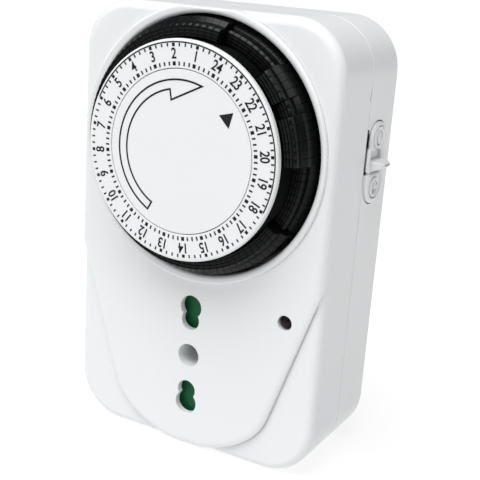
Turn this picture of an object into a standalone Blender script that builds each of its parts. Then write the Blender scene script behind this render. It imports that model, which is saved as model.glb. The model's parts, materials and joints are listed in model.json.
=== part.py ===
"""Mechanical 24-hour plug-in timer with an Italian two-spacing socket.

The front faces -Y, the wall plane is y = 0 and +Z is up. The origin is the middle of the
rear face. Every piece is its own object, and a moving piece has its origin on its joint's axis.
"""
from math import atan2, cos, pi, radians, sin

import bmesh
import bpy
from mathutils import Vector

MM = 0.001

# Case: two shells that meet at a seam
BODY_WIDTH = 70.0 * MM
BODY_HEIGHT = 111.0 * MM
BODY_DEPTH = 32.5 * MM
CORNER_RADIUS = 13.0 * MM
FRONT_FILLET = 3.0 * MM
REAR_FILLET = 1.5 * MM
WALL = 2.0 * MM
FRONT_WALL = 2.6 * MM
REAR_WALL = 2.2 * MM
SEAM_Y = -15.3 * MM
GAP = 0.3 * MM
PANEL_STEP = 1.5 * MM
FRONT_Y = -BODY_DEPTH
SCREW_X = 27.0 * MM
SCREW_Z = 47.0 * MM

# Dial
DIAL_Z = 23.05 * MM
DIAL_PROUD = 9.3 * MM
FACE_Y = FRONT_Y - DIAL_PROUD
FACE_THICKNESS = 1.5 * MM
FACE_RADIUS = 25.7 * MM
CENTRE_DISC_RADIUS = 19.0 * MM
DRUM_RADIUS = 25.4 * MM
DRUM_WALL = 1.5 * MM
DRUM_WEB = 1.2 * MM
DRUM_REAR_Y = -25.4 * MM
SPINDLE_RADIUS = 3.0 * MM
OPENING_RADIUS = 31.25 * MM
COLLAR_RADIUS = 33.3 * MM
COLLAR_HEIGHT = 0.9 * MM
TAPPET_RADIUS = 30.75 * MM
TAPPET_BORE = DRUM_RADIUS + 0.5 * MM
TAPPETS_PER_HOUR = 4
HOURS = 24
HOUR_ANGLE = 2 * pi / HOURS
HOUR_24_ANGLE = radians(23.33)
TAPPET_GAP = radians(0.5)
TAPPET_PHASE = radians(-1.25)  # the tappets' joints lie a little past the hour marks
# Each group: first hour, last hour, and how far it stands in (+) or out (-) of the usual place
TAPPET_GROUPS = [
    (0.75, 3.0, -1.5), (3.0, 5.25, -1.5), (5.25, 7.75, -1.5), (7.75, 10.25, -1.5), (10.25, 12.75, -1.5),
    (12.75, 15.25, -1.5), (15.25, 17.5, -1.5), (17.5, 19.75, 1.5), (19.75, 21.25, -3.4),
    (21.25, 21.75, -2.1), (21.75, 22.75, -3.4), (22.75, 24.75, 1.5),
]

# Drive: dial gear, transfer gear and motor pinion
DIAL_TEETH = 40
PINION_TEETH = 10
WHEEL_TEETH = 30
COARSE_MODULE = 0.8 * MM
FINE_MODULE = 0.6 * MM
TRANSFER_ANGLE = atan2(-16.0, -12.0)
MOTOR_PINION_ANGLE = atan2(9.6, -7.2)
PLATE_FRONT_Y = -21.5 * MM
PLATE_REAR_Y = -20.0 * MM
PLATE_POSTS = [(-26.0 * MM, -7.0 * MM), (14.0 * MM, -8.0 * MM)]
MOTOR_X = -8.0 * MM
MOTOR_Z = 26.0 * MM
MOTOR_RADIUS = 18.0 * MM
MOTOR_FRONT_Y = -17.5 * MM
MOTOR_REAR_Y = -4.5 * MM

# Socket on the front and plug on the rear share one vertical line of contacts
SOCKET_Z = -30.25 * MM
WIDE_SPACING = 13.0 * MM
NARROW_SPACING = 9.5 * MM
WIDE_HOLE_RADIUS = 2.95 * MM
NARROW_HOLE_RADIUS = 2.5 * MM
EARTH_HOLE_RADIUS = 2.95 * MM
EARTH_TUBE_END_Y = -22.9 * MM
PIN_RADIUS = 2.5 * MM
PIN_LENGTH = 19.0 * MM
SHUTTER_FRONT_Y = -29.5 * MM
SHUTTER_REAR_Y = -28.1 * MM
SHUTTER_HALF_ANGLE = radians(22.0)

# Indicator lamp
LED_X = 26.0 * MM
LED_Z = -14.95 * MM
LED_RADIUS = 1.7 * MM

# Override switch on the right-hand side
SWITCH_Y = -9.3 * MM
SWITCH_Z = 21.8 * MM
SWITCH_WIDTH = 11.0 * MM
SWITCH_HEIGHT = 19.9 * MM
SWITCH_FACE_X = 35.7 * MM

# Follower lever and its switch
LEVER_X = 26.0 * MM
LEVER_Y = -18.0 * MM
LEVER_Z = -6.0 * MM
LEVER_WIDTH = 4.0 * MM


def remove_scene_objects():
    for scene_object in list(bpy.data.objects):
        bpy.data.objects.remove(scene_object, do_unlink=True)


def plastic_or_metal(name, colour, roughness, metallic=0.0):
    surface = bpy.data.materials.new(name)
    surface.use_nodes = True
    shader = surface.node_tree.nodes["Principled BSDF"]
    shader.inputs["Base Color"].default_value = (*colour, 1.0)
    shader.inputs["Roughness"].default_value = roughness
    shader.inputs["Metallic"].default_value = metallic
    surface.diffuse_color = (*colour, 1.0)
    return surface


# Outlines: lists of 2-D points

def arc(centre, radius, start, end, steps):
    points = []
    for step in range(steps + 1):
        angle = start + (end - start) * step / steps
        points.append((centre[0] + radius * cos(angle), centre[1] + radius * sin(angle)))
    return points


def circle(radius, steps, centre=(0.0, 0.0)):
    return arc(centre, radius, 0.0, 2 * pi, steps)[:-1]


def rounded_rectangle(width, height, radius, steps, centre=(0.0, 0.0)):
    points = []
    for quarter, (side_x, side_z) in enumerate(((1, 1), (-1, 1), (-1, -1), (1, -1))):
        corner = (centre[0] + side_x * (width / 2 - radius), centre[1] + side_z * (height / 2 - radius))
        points += arc(corner, radius, quarter * pi / 2, (quarter + 1) * pi / 2, steps)
    return points


def rectangle(left, right, bottom, top):
    return [(left, bottom), (right, bottom), (right, top), (left, top)]


def gear_outline(teeth, module, tooth_angle):
    """Spur gear with straight-sided teeth and running clearance; one tooth centred on tooth_angle."""
    pitch_radius = teeth * module / 2
    root_radius = pitch_radius - 1.1 * module
    tip_radius = pitch_radius + 0.75 * module
    half_pitch = pi / teeth
    points = []
    for tooth in range(teeth):
        middle = tooth_angle + tooth * 2 * half_pitch
        for radius, share in ((root_radius, -0.6), (tip_radius, -0.2), (tip_radius, 0.2), (root_radius, 0.6)):
            angle = middle + share * half_pitch
            points.append((radius * cos(angle), radius * sin(angle)))
    return points


# Solids

def add_object(name, mesh_data, surface, place):
    bmesh.ops.recalc_face_normals(mesh_data, faces=mesh_data.faces)
    mesh = bpy.data.meshes.new(name)
    mesh_data.to_mesh(mesh)
    mesh_data.free()
    mesh.shade_smooth()
    mesh.set_sharp_from_angle(angle=radians(30))
    piece = bpy.data.objects.new(name, mesh)
    piece.location = place
    bpy.context.collection.objects.link(piece)
    if surface:
        mesh.materials.append(surface)
    return piece


def to_space(axis, pair, depth):
    """A point from its place in the outline plane and its depth along the axis."""
    if axis == "X":
        return Vector((depth, pair[0], pair[1]))
    if axis == "Y":
        return Vector((pair[0], depth, pair[1]))
    return Vector((pair[0], pair[1], depth))


def stack(name, sections, surface=None, axis="Y", place=(0.0, 0.0, 0.0)):
    """Closed solid through outlines with equal point counts: a list of (outline, depth)."""
    mesh_data = bmesh.new()
    rings = [[mesh_data.verts.new(to_space(axis, pair, depth)) for pair in outline]
             for outline, depth in sections]
    count = len(rings[0])
    for lower, upper in zip(rings, rings[1:]):
        for index in range(count):
            following = (index + 1) % count
            mesh_data.faces.new((lower[index], lower[following], upper[following], upper[index]))
    mesh_data.faces.new(rings[0])
    mesh_data.faces.new(rings[-1])
    return add_object(name, mesh_data, surface, place)


def prism(name, outline, low, high, surface=None, axis="Y", place=(0.0, 0.0, 0.0)):
    return stack(name, [(outline, low), (outline, high)], surface, axis, place)


def block(name, low, high, surface=None):
    return prism(name, rectangle(low[0], high[0], low[2], high[2]), low[1], high[1], surface)


def turned(name, profile, surface=None, steps=24, place=(0.0, 0.0, 0.0), axis="Y"):
    """Solid of revolution about the axis through place; profile is a loop of (radius, depth)."""
    mesh_data = bmesh.new()
    rings = []
    for radius, depth in profile:
        if radius == 0.0:
            rings.append([mesh_data.verts.new(to_space(axis, (0.0, 0.0), depth))] * steps)
        else:
            rings.append([mesh_data.verts.new(to_space(axis, pair, depth)) for pair in circle(radius, steps)])
    for first, second in zip(rings, rings[1:] + rings[:1]):
        for index in range(steps):
            following = (index + 1) % steps
            corners = [first[index], first[following], second[following], second[index]]
            distinct = list(dict.fromkeys(corners))
            if len(distinct) > 2:
                mesh_data.faces.new(distinct)
    return add_object(name, mesh_data, surface, place)


def rod(name, radius, low, high, surface=None, steps=16, place=(0.0, 0.0, 0.0), axis="Y"):
    return prism(name, circle(radius, steps), low, high, surface, axis, place)


def tube_ring(name, inner, outer, low, high, surface=None, steps=24, place=(0.0, 0.0, 0.0), axis="Y"):
    profile = [(inner, low), (outer, low), (outer, high), (inner, high)]
    return turned(name, profile, surface, steps, place, axis)


def swept_wire(name, points, radius, sides, surface):
    """Round wire along points, with flat ends square to the wire."""
    mesh_data = bmesh.new()
    rings = []
    side = None
    for index, point in enumerate(points):
        before = points[max(index - 1, 0)]
        after = points[min(index + 1, len(points) - 1)]
        along = (after - before).normalized()
        if side is None:
            side = along.orthogonal().normalized()
        side = (side - along * side.dot(along)).normalized()
        other = along.cross(side)
        rings.append([mesh_data.verts.new(point + radius * (side * cos(2 * pi * turn / sides)
                                                            + other * sin(2 * pi * turn / sides)))
                      for turn in range(sides)])
    for lower, upper in zip(rings, rings[1:]):
        for index in range(sides):
            following = (index + 1) % sides
            mesh_data.faces.new((lower[index], lower[following], upper[following], upper[index]))
    mesh_data.faces.new(rings[0])
    mesh_data.faces.new(rings[-1])
    return add_object(name, mesh_data, surface, (0.0, 0.0, 0.0))


def smooth_route(corners, steps):
    """Catmull-Rom curve through the corners."""
    padded = [2 * corners[0] - corners[1]] + corners + [2 * corners[-1] - corners[-2]]
    points = []
    for index in range(1, len(padded) - 2):
        before, start, end, after = padded[index - 1:index + 3]
        for step in range(steps):
            t = step / steps
            points.append(0.5 * (2 * start + (end - before) * t
                                 + (2 * before - 5 * start + 4 * end - after) * t ** 2
                                 + (3 * start - before - 3 * end + after) * t ** 3))
    points.append(corners[-1])
    return points


def combine(piece, tool, operation):
    tool.hide_render = True
    tool.display_type = "WIRE"
    modifier = piece.modifiers.new(tool.name, "BOOLEAN")
    modifier.operation = operation
    modifier.object = tool
    modifier.solver = "EXACT"


def cut(piece, *tools):
    for tool in tools:
        combine(piece, tool, "DIFFERENCE")


def join(piece, *tools):
    for tool in tools:
        combine(piece, tool, "UNION")


def screw_places():
    return [(side_x * SCREW_X, side_z * SCREW_Z) for side_z in (1, -1) for side_x in (-1, 1)]


def contact_heights():
    """Heights of the live, earth and neutral contacts, from the bottom up."""
    return {"live": SOCKET_Z - WIDE_SPACING, "earth": SOCKET_Z, "neutral": SOCKET_Z + WIDE_SPACING}


# Case

def body_outline(inset, steps=7):
    return rounded_rectangle(BODY_WIDTH - 2 * inset, BODY_HEIGHT - 2 * inset, CORNER_RADIUS - inset, steps)


def fillet_sections(radius, edge_y, direction, steps):
    """Outlines that round the edge where the flat at edge_y meets the sides."""
    sections = []
    for step in range(steps + 1):
        angle = pi / 2 * step / steps
        sections.append((body_outline(radius * (1 - sin(angle))), edge_y + direction * radius * (1 - cos(angle))))
    return sections


def lower_corner_outline(side):
    """Region beside the socket panel's flank and below its rounded tip."""
    flank_top = (36.0 * MM, -1.5 * MM)
    flank_end = (23.3 * MM, -40.45 * MM)
    tip = (0.0, -55.6 * MM)
    points = [flank_top, flank_end]
    for step in range(1, 9):
        t = step / 8
        control = (19.5 * MM, -53.0 * MM)
        points.append(tuple((1 - t) ** 2 * a + 2 * t * (1 - t) * b + t ** 2 * c
                            for a, b, c in zip(flank_end, control, tip)))
    points += [(0.0, -57.0 * MM), (36.0 * MM, -57.0 * MM)]
    return [(side * x, z) for x, z in points]


def double_hole_outline(side):
    """Two round holes that run into each other, for the narrow and the wide pin spacing."""
    wide = (0.0, SOCKET_Z + side * WIDE_SPACING)
    narrow = (0.0, SOCKET_Z + side * NARROW_SPACING)
    distance = WIDE_SPACING - NARROW_SPACING
    crossing = (distance ** 2 + NARROW_HOLE_RADIUS ** 2 - WIDE_HOLE_RADIUS ** 2) / (2 * distance)
    half_width = (NARROW_HOLE_RADIUS ** 2 - crossing ** 2) ** 0.5
    wide_angle = atan2(-side * (distance - crossing), half_width)
    narrow_angle = atan2(side * crossing, half_width)
    outer = arc(wide, WIDE_HOLE_RADIUS, wide_angle, side * pi - wide_angle, 18)
    inner = arc(narrow, NARROW_HOLE_RADIUS, side * pi - narrow_angle, side * 2 * pi + narrow_angle, 14)
    return outer + inner[1:-1]


def make_front_housing(white):
    rear_y = SEAM_Y - GAP / 2
    sections = fillet_sections(FRONT_FILLET, FRONT_Y, 1, 3)
    shell = stack("front_housing", sections + [(body_outline(0.0), rear_y)], white)
    collar = tube_ring("collar", OPENING_RADIUS - 0.3 * MM, COLLAR_RADIUS, FRONT_Y - COLLAR_HEIGHT,
                       FRONT_Y + 6 * MM, steps=72, place=(0.0, 0.0, DIAL_Z))
    combine(collar, prism("collar_bounds", body_outline(0.2 * MM), -40 * MM, -20 * MM), "INTERSECT")
    join(shell, collar)
    for side, name in ((1, "right"), (-1, "left")):
        cut(shell, prism("corner_step_" + name, lower_corner_outline(side), -40 * MM, FRONT_Y + PANEL_STEP))
    cut(shell, prism("front_cavity", body_outline(WALL), FRONT_Y + FRONT_WALL, -10 * MM))
    cut(shell, rod("dial_opening", OPENING_RADIUS, -40 * MM, -20 * MM, steps=72, place=(0.0, 0.0, DIAL_Z)))
    inside_wall = FRONT_Y + PANEL_STEP + 0.5 * MM
    for number, (x, z) in enumerate(screw_places()):
        join(shell, rod(f"front_boss_{number}", 3.0 * MM, inside_wall, rear_y - GAP, place=(x, 0.0, z)))
        cut(shell, rod(f"front_boss_bore_{number}", 1.35 * MM, -27 * MM, -10 * MM, place=(x, 0.0, z), steps=12))
    for number, (x, z) in enumerate(PLATE_POSTS):
        join(shell, rod(f"plate_post_{number}", 2.6 * MM, inside_wall, PLATE_FRONT_Y - GAP, place=(x, 0.0, z)))
        cut(shell, rod(f"plate_post_bore_{number}", 1.1 * MM, -28 * MM, -10 * MM, place=(x, 0.0, z), steps=12))
    join(shell, rod("earth_tube", 3.9 * MM, inside_wall, EARTH_TUBE_END_Y, steps=24, place=(0.0, 0.0, SOCKET_Z)))
    cut(shell, rod("earth_hole", EARTH_HOLE_RADIUS, -40 * MM, -20 * MM, steps=24, place=(0.0, 0.0, SOCKET_Z)))
    for side, name in ((1, "upper"), (-1, "lower")):
        cut(shell, prism("pin_hole_" + name, double_hole_outline(side), -40 * MM, -20 * MM))
    cut(shell, rod("led_hole", LED_RADIUS + 0.15 * MM, -40 * MM, -20 * MM, steps=20, place=(LED_X, 0.0, LED_Z)))
    return shell


def switch_outline(margin):
    width = SWITCH_WIDTH + 2 * margin
    return rounded_rectangle(width, SWITCH_HEIGHT + 2 * margin, width / 2 - 0.01 * MM, 8, (SWITCH_Y, SWITCH_Z))


def make_rear_housing(white):
    front_y = SEAM_Y + GAP / 2
    sections = fillet_sections(REAR_FILLET, 0.0, -1, 2)
    shell = stack("rear_housing", sections + [(body_outline(0.0), front_y)], white)
    cut(shell, prism("rear_cavity", body_outline(WALL), -20 * MM, -REAR_WALL))
    inside_wall = -REAR_WALL / 2
    for number, (x, z) in enumerate(screw_places()):
        join(shell, rod(f"rear_boss_{number}", 3.8 * MM, front_y, inside_wall, place=(x, 0.0, z)))
        cut(shell, rod(f"rear_bore_{number}", 1.5 * MM, -20 * MM, 2 * MM, place=(x, 0.0, z), steps=12))
        cut(shell, rod(f"rear_head_bore_{number}", 2.8 * MM, -4 * MM, 2 * MM, place=(x, 0.0, z)))
    for name, height in contact_heights().items():
        join(shell, rod("pin_boss_" + name, 4.4 * MM, -6.2 * MM, inside_wall, place=(0.0, 0.0, height), steps=20))
        cut(shell, rod("pin_bore_" + name, PIN_RADIUS + 0.1 * MM, -8 * MM, 2 * MM, place=(0.0, 0.0, height),
                       steps=20))
    cut(shell, prism("switch_notch", switch_outline(0.35 * MM), 30 * MM, 40 * MM, axis="X"))
    return shell


def make_screw(name, x, z, head_y, shank_end_y, shank_radius, head_radius, steel):
    """Pan-head screw driven from the rear, with a crossed recess in its head."""
    profile = [(0.0, shank_end_y), (shank_radius, shank_end_y + 0.6 * MM), (shank_radius, head_y - 1.6 * MM),
               (head_radius, head_y - 1.6 * MM), (head_radius, head_y - 0.4 * MM),
               (head_radius - 0.5 * MM, head_y), (0.0, head_y)]
    screw = turned(name, profile, steel, steps=12, place=(x, 0.0, z))
    for number, (width, height) in enumerate(((0.6 * MM, 2.6 * MM), (2.6 * MM, 0.6 * MM))):
        outline = rectangle(x - width / 2, x + width / 2, z - height / 2, z + height / 2)
        cut(screw, prism(f"{name}_recess_{number}", outline, head_y - 0.8 * MM, head_y + MM))
    return screw


# Dial

def dial_angle(hour):
    """Angle of an hour mark about the dial's axis, from +X towards +Z."""
    return pi / 2 - HOUR_24_ANGLE + hour * HOUR_ANGLE


def make_drum(black):
    hub_radius = 5.5 * MM
    bore = SPINDLE_RADIUS + 0.2 * MM
    front_y = FACE_Y + FACE_THICKNESS + GAP
    web_y = front_y + DRUM_WEB
    gear_rear_y = DRUM_REAR_Y + 2 * MM
    flange_radius = 28.8 * MM
    profile = [(bore, front_y), (DRUM_RADIUS, front_y), (DRUM_RADIUS, DRUM_REAR_Y - 1.2 * MM),
               (flange_radius, DRUM_REAR_Y - 1.2 * MM), (flange_radius, DRUM_REAR_Y),
               (DRUM_RADIUS - DRUM_WALL, DRUM_REAR_Y), (DRUM_RADIUS - DRUM_WALL, web_y),
               (hub_radius, web_y), (hub_radius, gear_rear_y), (bore, gear_rear_y)]
    place = (0.0, 0.0, DIAL_Z)
    drum = turned("dial_drum", profile, black, steps=64, place=place)
    teeth = prism("dial_teeth", gear_outline(DIAL_TEETH, COARSE_MODULE, TRANSFER_ANGLE), DRUM_REAR_Y - 0.2 * MM,
                  gear_rear_y, place=place)
    cut(teeth, rod("dial_teeth_bore", SPINDLE_RADIUS + MM, -30 * MM, -20 * MM, place=place, steps=24))
    join(drum, teeth)
    return drum


def make_dial_face(white):
    inner = CENTRE_DISC_RADIUS + 0.25 * MM
    profile = [(inner, FACE_Y), (FACE_RADIUS - 0.6 * MM, FACE_Y), (FACE_RADIUS, FACE_Y + 0.6 * MM),
               (FACE_RADIUS, FACE_Y + FACE_THICKNESS), (inner, FACE_Y + FACE_THICKNESS)]
    return turned("dial_face", profile, white, steps=72, place=(0.0, 0.0, DIAL_Z))


def make_centre_disc(white):
    return rod("centre_disc", CENTRE_DISC_RADIUS, FACE_Y, FACE_Y + FACE_THICKNESS - 0.1 * MM, white, steps=64,
               place=(0.0, 0.0, DIAL_Z))


def make_spindle(steel):
    shoulder_y = PLATE_FRONT_Y - GAP
    profile = [(0.0, FACE_Y + FACE_THICKNESS + GAP / 2), (SPINDLE_RADIUS, FACE_Y + FACE_THICKNESS + GAP / 2),
               (SPINDLE_RADIUS, shoulder_y - 1.0 * MM), (4.4 * MM, shoulder_y - 1.0 * MM), (4.4 * MM, shoulder_y),
               (2.2 * MM, shoulder_y), (2.2 * MM, PLATE_REAR_Y + 2.0 * MM), (0.0, PLATE_REAR_Y + 2.0 * MM)]
    return turned("dial_spindle", profile, steel, steps=24, place=(0.0, 0.0, DIAL_Z))


def tappet_profile():
    """Cross-section of a tappet: (radius, depth), from its front tip round to its tail."""
    heights = [(TAPPET_BORE, 3.9), (28.9 * MM, 3.8), (29.3 * MM, 2.0), (29.75 * MM, 1.75), (TAPPET_RADIUS, 0.75),
               (TAPPET_RADIUS, -8.5), (29.3 * MM, -8.5), (29.3 * MM, -3.5), (TAPPET_BORE, -3.5)]
    return [(radius, FRONT_Y - height * MM) for radius, height in heights]


def make_tappets(number, first_hour, last_hour, offset, black):
    """A run of quarter-hour tappets as one curved solid, offset from the usual place along Y."""
    count = round((last_hour - first_hour) * TAPPETS_PER_HOUR)
    start = dial_angle(first_hour) + TAPPET_PHASE + TAPPET_GAP / 2
    step = (dial_angle(last_hour) + TAPPET_PHASE - TAPPET_GAP / 2 - start) / count
    mesh_data = bmesh.new()
    rings = []
    for index in range(count + 1):
        angle = start + index * step
        rings.append([mesh_data.verts.new(Vector((radius * cos(angle), depth, radius * sin(angle))))
                      for radius, depth in tappet_profile()])
    for lower, upper in zip(rings, rings[1:]):
        for index in range(len(lower)):
            following = (index + 1) % len(lower)
            mesh_data.faces.new((lower[index], lower[following], upper[following], upper[index]))
    mesh_data.faces.new(rings[0])
    mesh_data.faces.new(rings[-1])
    return add_object(f"tappets_{number:02d}", mesh_data, black, (0.0, offset * MM, DIAL_Z))


# Movement: plate, gears and motor

def transfer_place():
    distance = (DIAL_TEETH + PINION_TEETH) * COARSE_MODULE / 2
    return (distance * cos(TRANSFER_ANGLE), 0.0, DIAL_Z + distance * sin(TRANSFER_ANGLE))


def motor_pinion_place():
    distance = (WHEEL_TEETH + PINION_TEETH) * FINE_MODULE / 2
    x, _, z = transfer_place()
    return (x + distance * cos(MOTOR_PINION_ANGLE), 0.0, z + distance * sin(MOTOR_PINION_ANGLE))


def make_movement_plate(grey):
    outline = rounded_rectangle(62.6 * MM, 52.5 * MM, 4 * MM, 4, (0.0, 15.75 * MM))
    plate = prism("movement_plate", outline, PLATE_FRONT_Y, PLATE_REAR_Y, grey)
    for number, x in enumerate((LEVER_X - 3.0 * MM, LEVER_X + 3.0 * MM)):
        profile = rounded_rectangle(4.6 * MM, 4.4 * MM, 1 * MM, 3, (-18.3 * MM, LEVER_Z))
        ear = prism(f"lever_ear_{number}", profile, x - 0.55 * MM, x + 0.55 * MM, axis="X")
        join(plate, ear)
        cut(plate, rod(f"lever_ear_bore_{number}", 1.05 * MM, x - MM, x + MM, steps=12, axis="X",
                       place=(0.0, LEVER_Y, LEVER_Z)))
    lever_window = rectangle(LEVER_X - 2.3 * MM, LEVER_X + 2.3 * MM, 4.0 * MM, 12.5 * MM)
    cut(plate, prism("lever_window", lever_window, -24 * MM, -18 * MM))
    holes = [("spindle", (0.0, DIAL_Z), 2.3 * MM), ("transfer", transfer_place()[::2], 2.7 * MM)]
    for number, place in enumerate(PLATE_POSTS):
        holes.append((f"screw_{number}", place, 1.2 * MM))
    for name, (x, z), radius in holes:
        cut(plate, rod("plate_hole_" + name, radius, -24 * MM, -15 * MM, steps=16, place=(x, 0.0, z)))
    return plate


def make_spindle_nut(steel):
    nut = rod("spindle_nut", 4.0 * MM, PLATE_REAR_Y + 0.1 * MM, PLATE_REAR_Y + 1.6 * MM, steel, steps=6,
              place=(0.0, 0.0, DIAL_Z))
    cut(nut, rod("nut_bore", 2.25 * MM, -25 * MM, -10 * MM, steps=24, place=(0.0, 0.0, DIAL_Z)))
    return nut


def make_transfer_gear(natural):
    """A pinion in mesh with the dial's gear and a wheel in mesh with the motor's pinion."""
    place = transfer_place()
    half_pitch = pi / PINION_TEETH
    pinion = gear_outline(PINION_TEETH, COARSE_MODULE, TRANSFER_ANGLE + pi + half_pitch)
    wheel = gear_outline(WHEEL_TEETH, FINE_MODULE, MOTOR_PINION_ANGLE)
    gear = prism("transfer_gear", pinion, -25.3 * MM, -22.6 * MM, natural, place=place)
    join(gear, rod("transfer_sleeve", 2.4 * MM, -23 * MM, -19 * MM, steps=16, place=place))
    join(gear, prism("transfer_wheel", wheel, -19.6 * MM, -18.1 * MM, place=place))
    cut(gear, rod("transfer_bore", 1.1 * MM, -30 * MM, -10 * MM, steps=12, place=place))
    return gear


def make_transfer_axle(steel):
    return rod("transfer_axle", 1.0 * MM, -25.8 * MM, -17.2 * MM, steel, steps=12, place=transfer_place())


def make_motor(tin, copper, magnet, natural):
    place = (MOTOR_X, 0.0, MOTOR_Z)
    skin = 0.8 * MM
    profile = [(2.0 * MM, MOTOR_FRONT_Y), (MOTOR_RADIUS, MOTOR_FRONT_Y), (MOTOR_RADIUS, MOTOR_REAR_Y),
               (MOTOR_RADIUS - skin, MOTOR_REAR_Y), (MOTOR_RADIUS - skin, MOTOR_FRONT_Y + skin),
               (2.0 * MM, MOTOR_FRONT_Y + skin)]
    case = turned("motor_case", profile, tin, steps=36, place=place)
    cut(case, rod("pinion_hole", 1.4 * MM, -20 * MM, -15 * MM, steps=12, place=motor_pinion_place()))
    cover_y = MOTOR_REAR_Y + GAP
    tube_ring("motor_cover", 2.0 * MM, MOTOR_RADIUS, cover_y, cover_y + skin, tin, steps=36, place=place)
    tube_ring("motor_coil", 9.5 * MM, 16.2 * MM, -15.6 * MM, -6.0 * MM, copper, steps=32, place=place)
    rotor_profile = [(0.0, -17.9 * MM), (1.8 * MM, -17.9 * MM), (1.8 * MM, -15.2 * MM), (8.6 * MM, -15.2 * MM),
                     (8.6 * MM, -6.5 * MM), (1.8 * MM, -6.5 * MM), (1.8 * MM, -3.6 * MM), (0.0, -3.6 * MM)]
    turned("motor_rotor", rotor_profile, magnet, steps=24, place=place)
    half_pitch = pi / PINION_TEETH
    outline = gear_outline(PINION_TEETH, FINE_MODULE, MOTOR_PINION_ANGLE + pi + half_pitch)
    pinion = prism("motor_pinion", outline, -19.6 * MM, -17.9 * MM, natural, place=motor_pinion_place())
    join(pinion, rod("pinion_shaft", 1.2 * MM, -18.2 * MM, -16.0 * MM, steps=12, place=motor_pinion_place()))


def make_follower(amber, steel):
    """Lever whose nose stands behind the tappets' tails; it swings about its pivot pin."""
    left = LEVER_X - LEVER_WIDTH / 2
    right = LEVER_X + LEVER_WIDTH / 2
    arm_top = 11.0 * MM
    nose_z = DIAL_Z - 15.0 * MM
    outline = [(0.9 * MM, 0.0), (0.9 * MM, arm_top - LEVER_Z), (-0.9 * MM, arm_top - LEVER_Z),
               (-0.9 * MM, nose_z + 1.6 * MM - LEVER_Z), (-4.3 * MM, nose_z + 0.5 * MM - LEVER_Z),
               (-4.3 * MM, nose_z - 0.5 * MM - LEVER_Z), (-0.9 * MM, nose_z - 1.6 * MM - LEVER_Z),
               (-0.9 * MM, 0.0)]
    place = (0.0, LEVER_Y, LEVER_Z)
    lever = prism("follower_lever", outline, left, right, amber, axis="X", place=place)
    join(lever, rod("lever_boss", 1.75 * MM, left, right, steps=16, axis="X", place=place))
    cut(lever, rod("lever_bore", 1.1 * MM, left - MM, right + MM, steps=12, axis="X", place=place))
    rod("lever_pivot", 1.0 * MM, LEVER_X - 4.2 * MM, LEVER_X + 4.2 * MM, steel, steps=12, axis="X", place=place)


def make_switch(black, white, bronze):
    """Snap switch: a case open to the rear, its plunger, its spring blade and its fixed contact."""
    case = block("switch_case", (20 * MM, -15 * MM, -9 * MM), (32 * MM, -5.5 * MM, 5 * MM), black)
    cut(case, block("switch_hollow", (21 * MM, -14 * MM, -8 * MM), (31 * MM, -4 * MM, 4 * MM)))
    cut(case, block("plunger_hole", (24.7 * MM, -16 * MM, -0.3 * MM), (27.3 * MM, -13 * MM, 2.3 * MM)))
    block("switch_plunger", (25 * MM, -16.8 * MM, 0.0), (27 * MM, -12.2 * MM, 2 * MM), white)
    blade = [(-11.1 * MM, -7.6 * MM), (-10.8 * MM, -7.6 * MM), (-10.8 * MM, 2.2 * MM), (-10.2 * MM, 3.6 * MM),
             (-10.5 * MM, 3.6 * MM), (-11.1 * MM, 2.3 * MM)]
    prism("switch_blade", blade, 24 * MM, 28 * MM, bronze, axis="X")
    contact = [(-9.4 * MM, 0.2 * MM), (-9.1 * MM, 0.2 * MM), (-9.1 * MM, 3.6 * MM), (-5.0 * MM, 3.6 * MM),
               (-5.0 * MM, 3.9 * MM), (-9.4 * MM, 3.9 * MM)]
    prism("switch_contact", contact, 24 * MM, 28 * MM, bronze, axis="X")


def make_override(white):
    """Slide on the right-hand side, its moving ridge in a window of a fixed surround."""
    inner_x = BODY_WIDTH / 2 - WALL + GAP
    surround = prism("switch_surround", switch_outline(0.0), inner_x, SWITCH_FACE_X, white, axis="X")
    window = rectangle(SWITCH_Y - 3.6 * MM, SWITCH_Y + 3.6 * MM, 18.9 * MM, 24.8 * MM)
    cut(surround, prism("switch_window", window, 30 * MM, 40 * MM, axis="X"))
    carriage = rectangle(SWITCH_Y - 5.0 * MM, SWITCH_Y + 5.0 * MM, 14.5 * MM, 26.5 * MM)
    slider = prism("override_slider", carriage, 31.2 * MM, 32.6 * MM, white, axis="X")
    ridge_low = (19.8 * MM, 22.6 * MM)
    ridge_high = (20.7 * MM, 22.2 * MM)
    root = rectangle(SWITCH_Y - 3.2 * MM, SWITCH_Y + 3.2 * MM, *ridge_low)
    tip = rectangle(SWITCH_Y - 2.2 * MM, SWITCH_Y + 2.4 * MM, *ridge_high)
    join(slider, stack("ridge", [(root, 32.0 * MM), (root, 36.2 * MM), (tip, 38.3 * MM)], axis="X"))


# Socket, plug, lamp and wiring

def make_shutter(green):
    """Turning shutter: a hub round the earth tube with a wing in front of each pin contact."""
    place = (0.0, 0.0, SOCKET_Z)
    wing_radius = 17.2 * MM
    hub_radius = 6.2 * MM
    outline = []
    for middle in (pi / 2, 3 * pi / 2):
        outline += arc((0.0, 0.0), wing_radius, middle - SHUTTER_HALF_ANGLE, middle + SHUTTER_HALF_ANGLE, 8)
        outline += arc((0.0, 0.0), hub_radius, middle + SHUTTER_HALF_ANGLE, middle + pi - SHUTTER_HALF_ANGLE, 8)
    shutter = prism("socket_shutter", outline, SHUTTER_FRONT_Y, SHUTTER_REAR_Y, green, place=place)
    cut(shutter, rod("shutter_bore", 4.1 * MM, -32 * MM, -26 * MM, steps=24, place=place))
    return shutter


def make_shutter_spring(steel):
    turns = 3
    steps_per_turn = 12
    radius = 4.7 * MM
    pitch = 0.55 * MM
    points = []
    for step in range(turns * steps_per_turn + 1):
        angle = 2 * pi * step / steps_per_turn
        points.append(Vector((radius * cos(angle), -27.7 * MM + pitch * step / steps_per_turn,
                              SOCKET_Z + radius * sin(angle))))
    return swept_wire("shutter_spring", points, 0.2 * MM, 5, steel)


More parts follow.
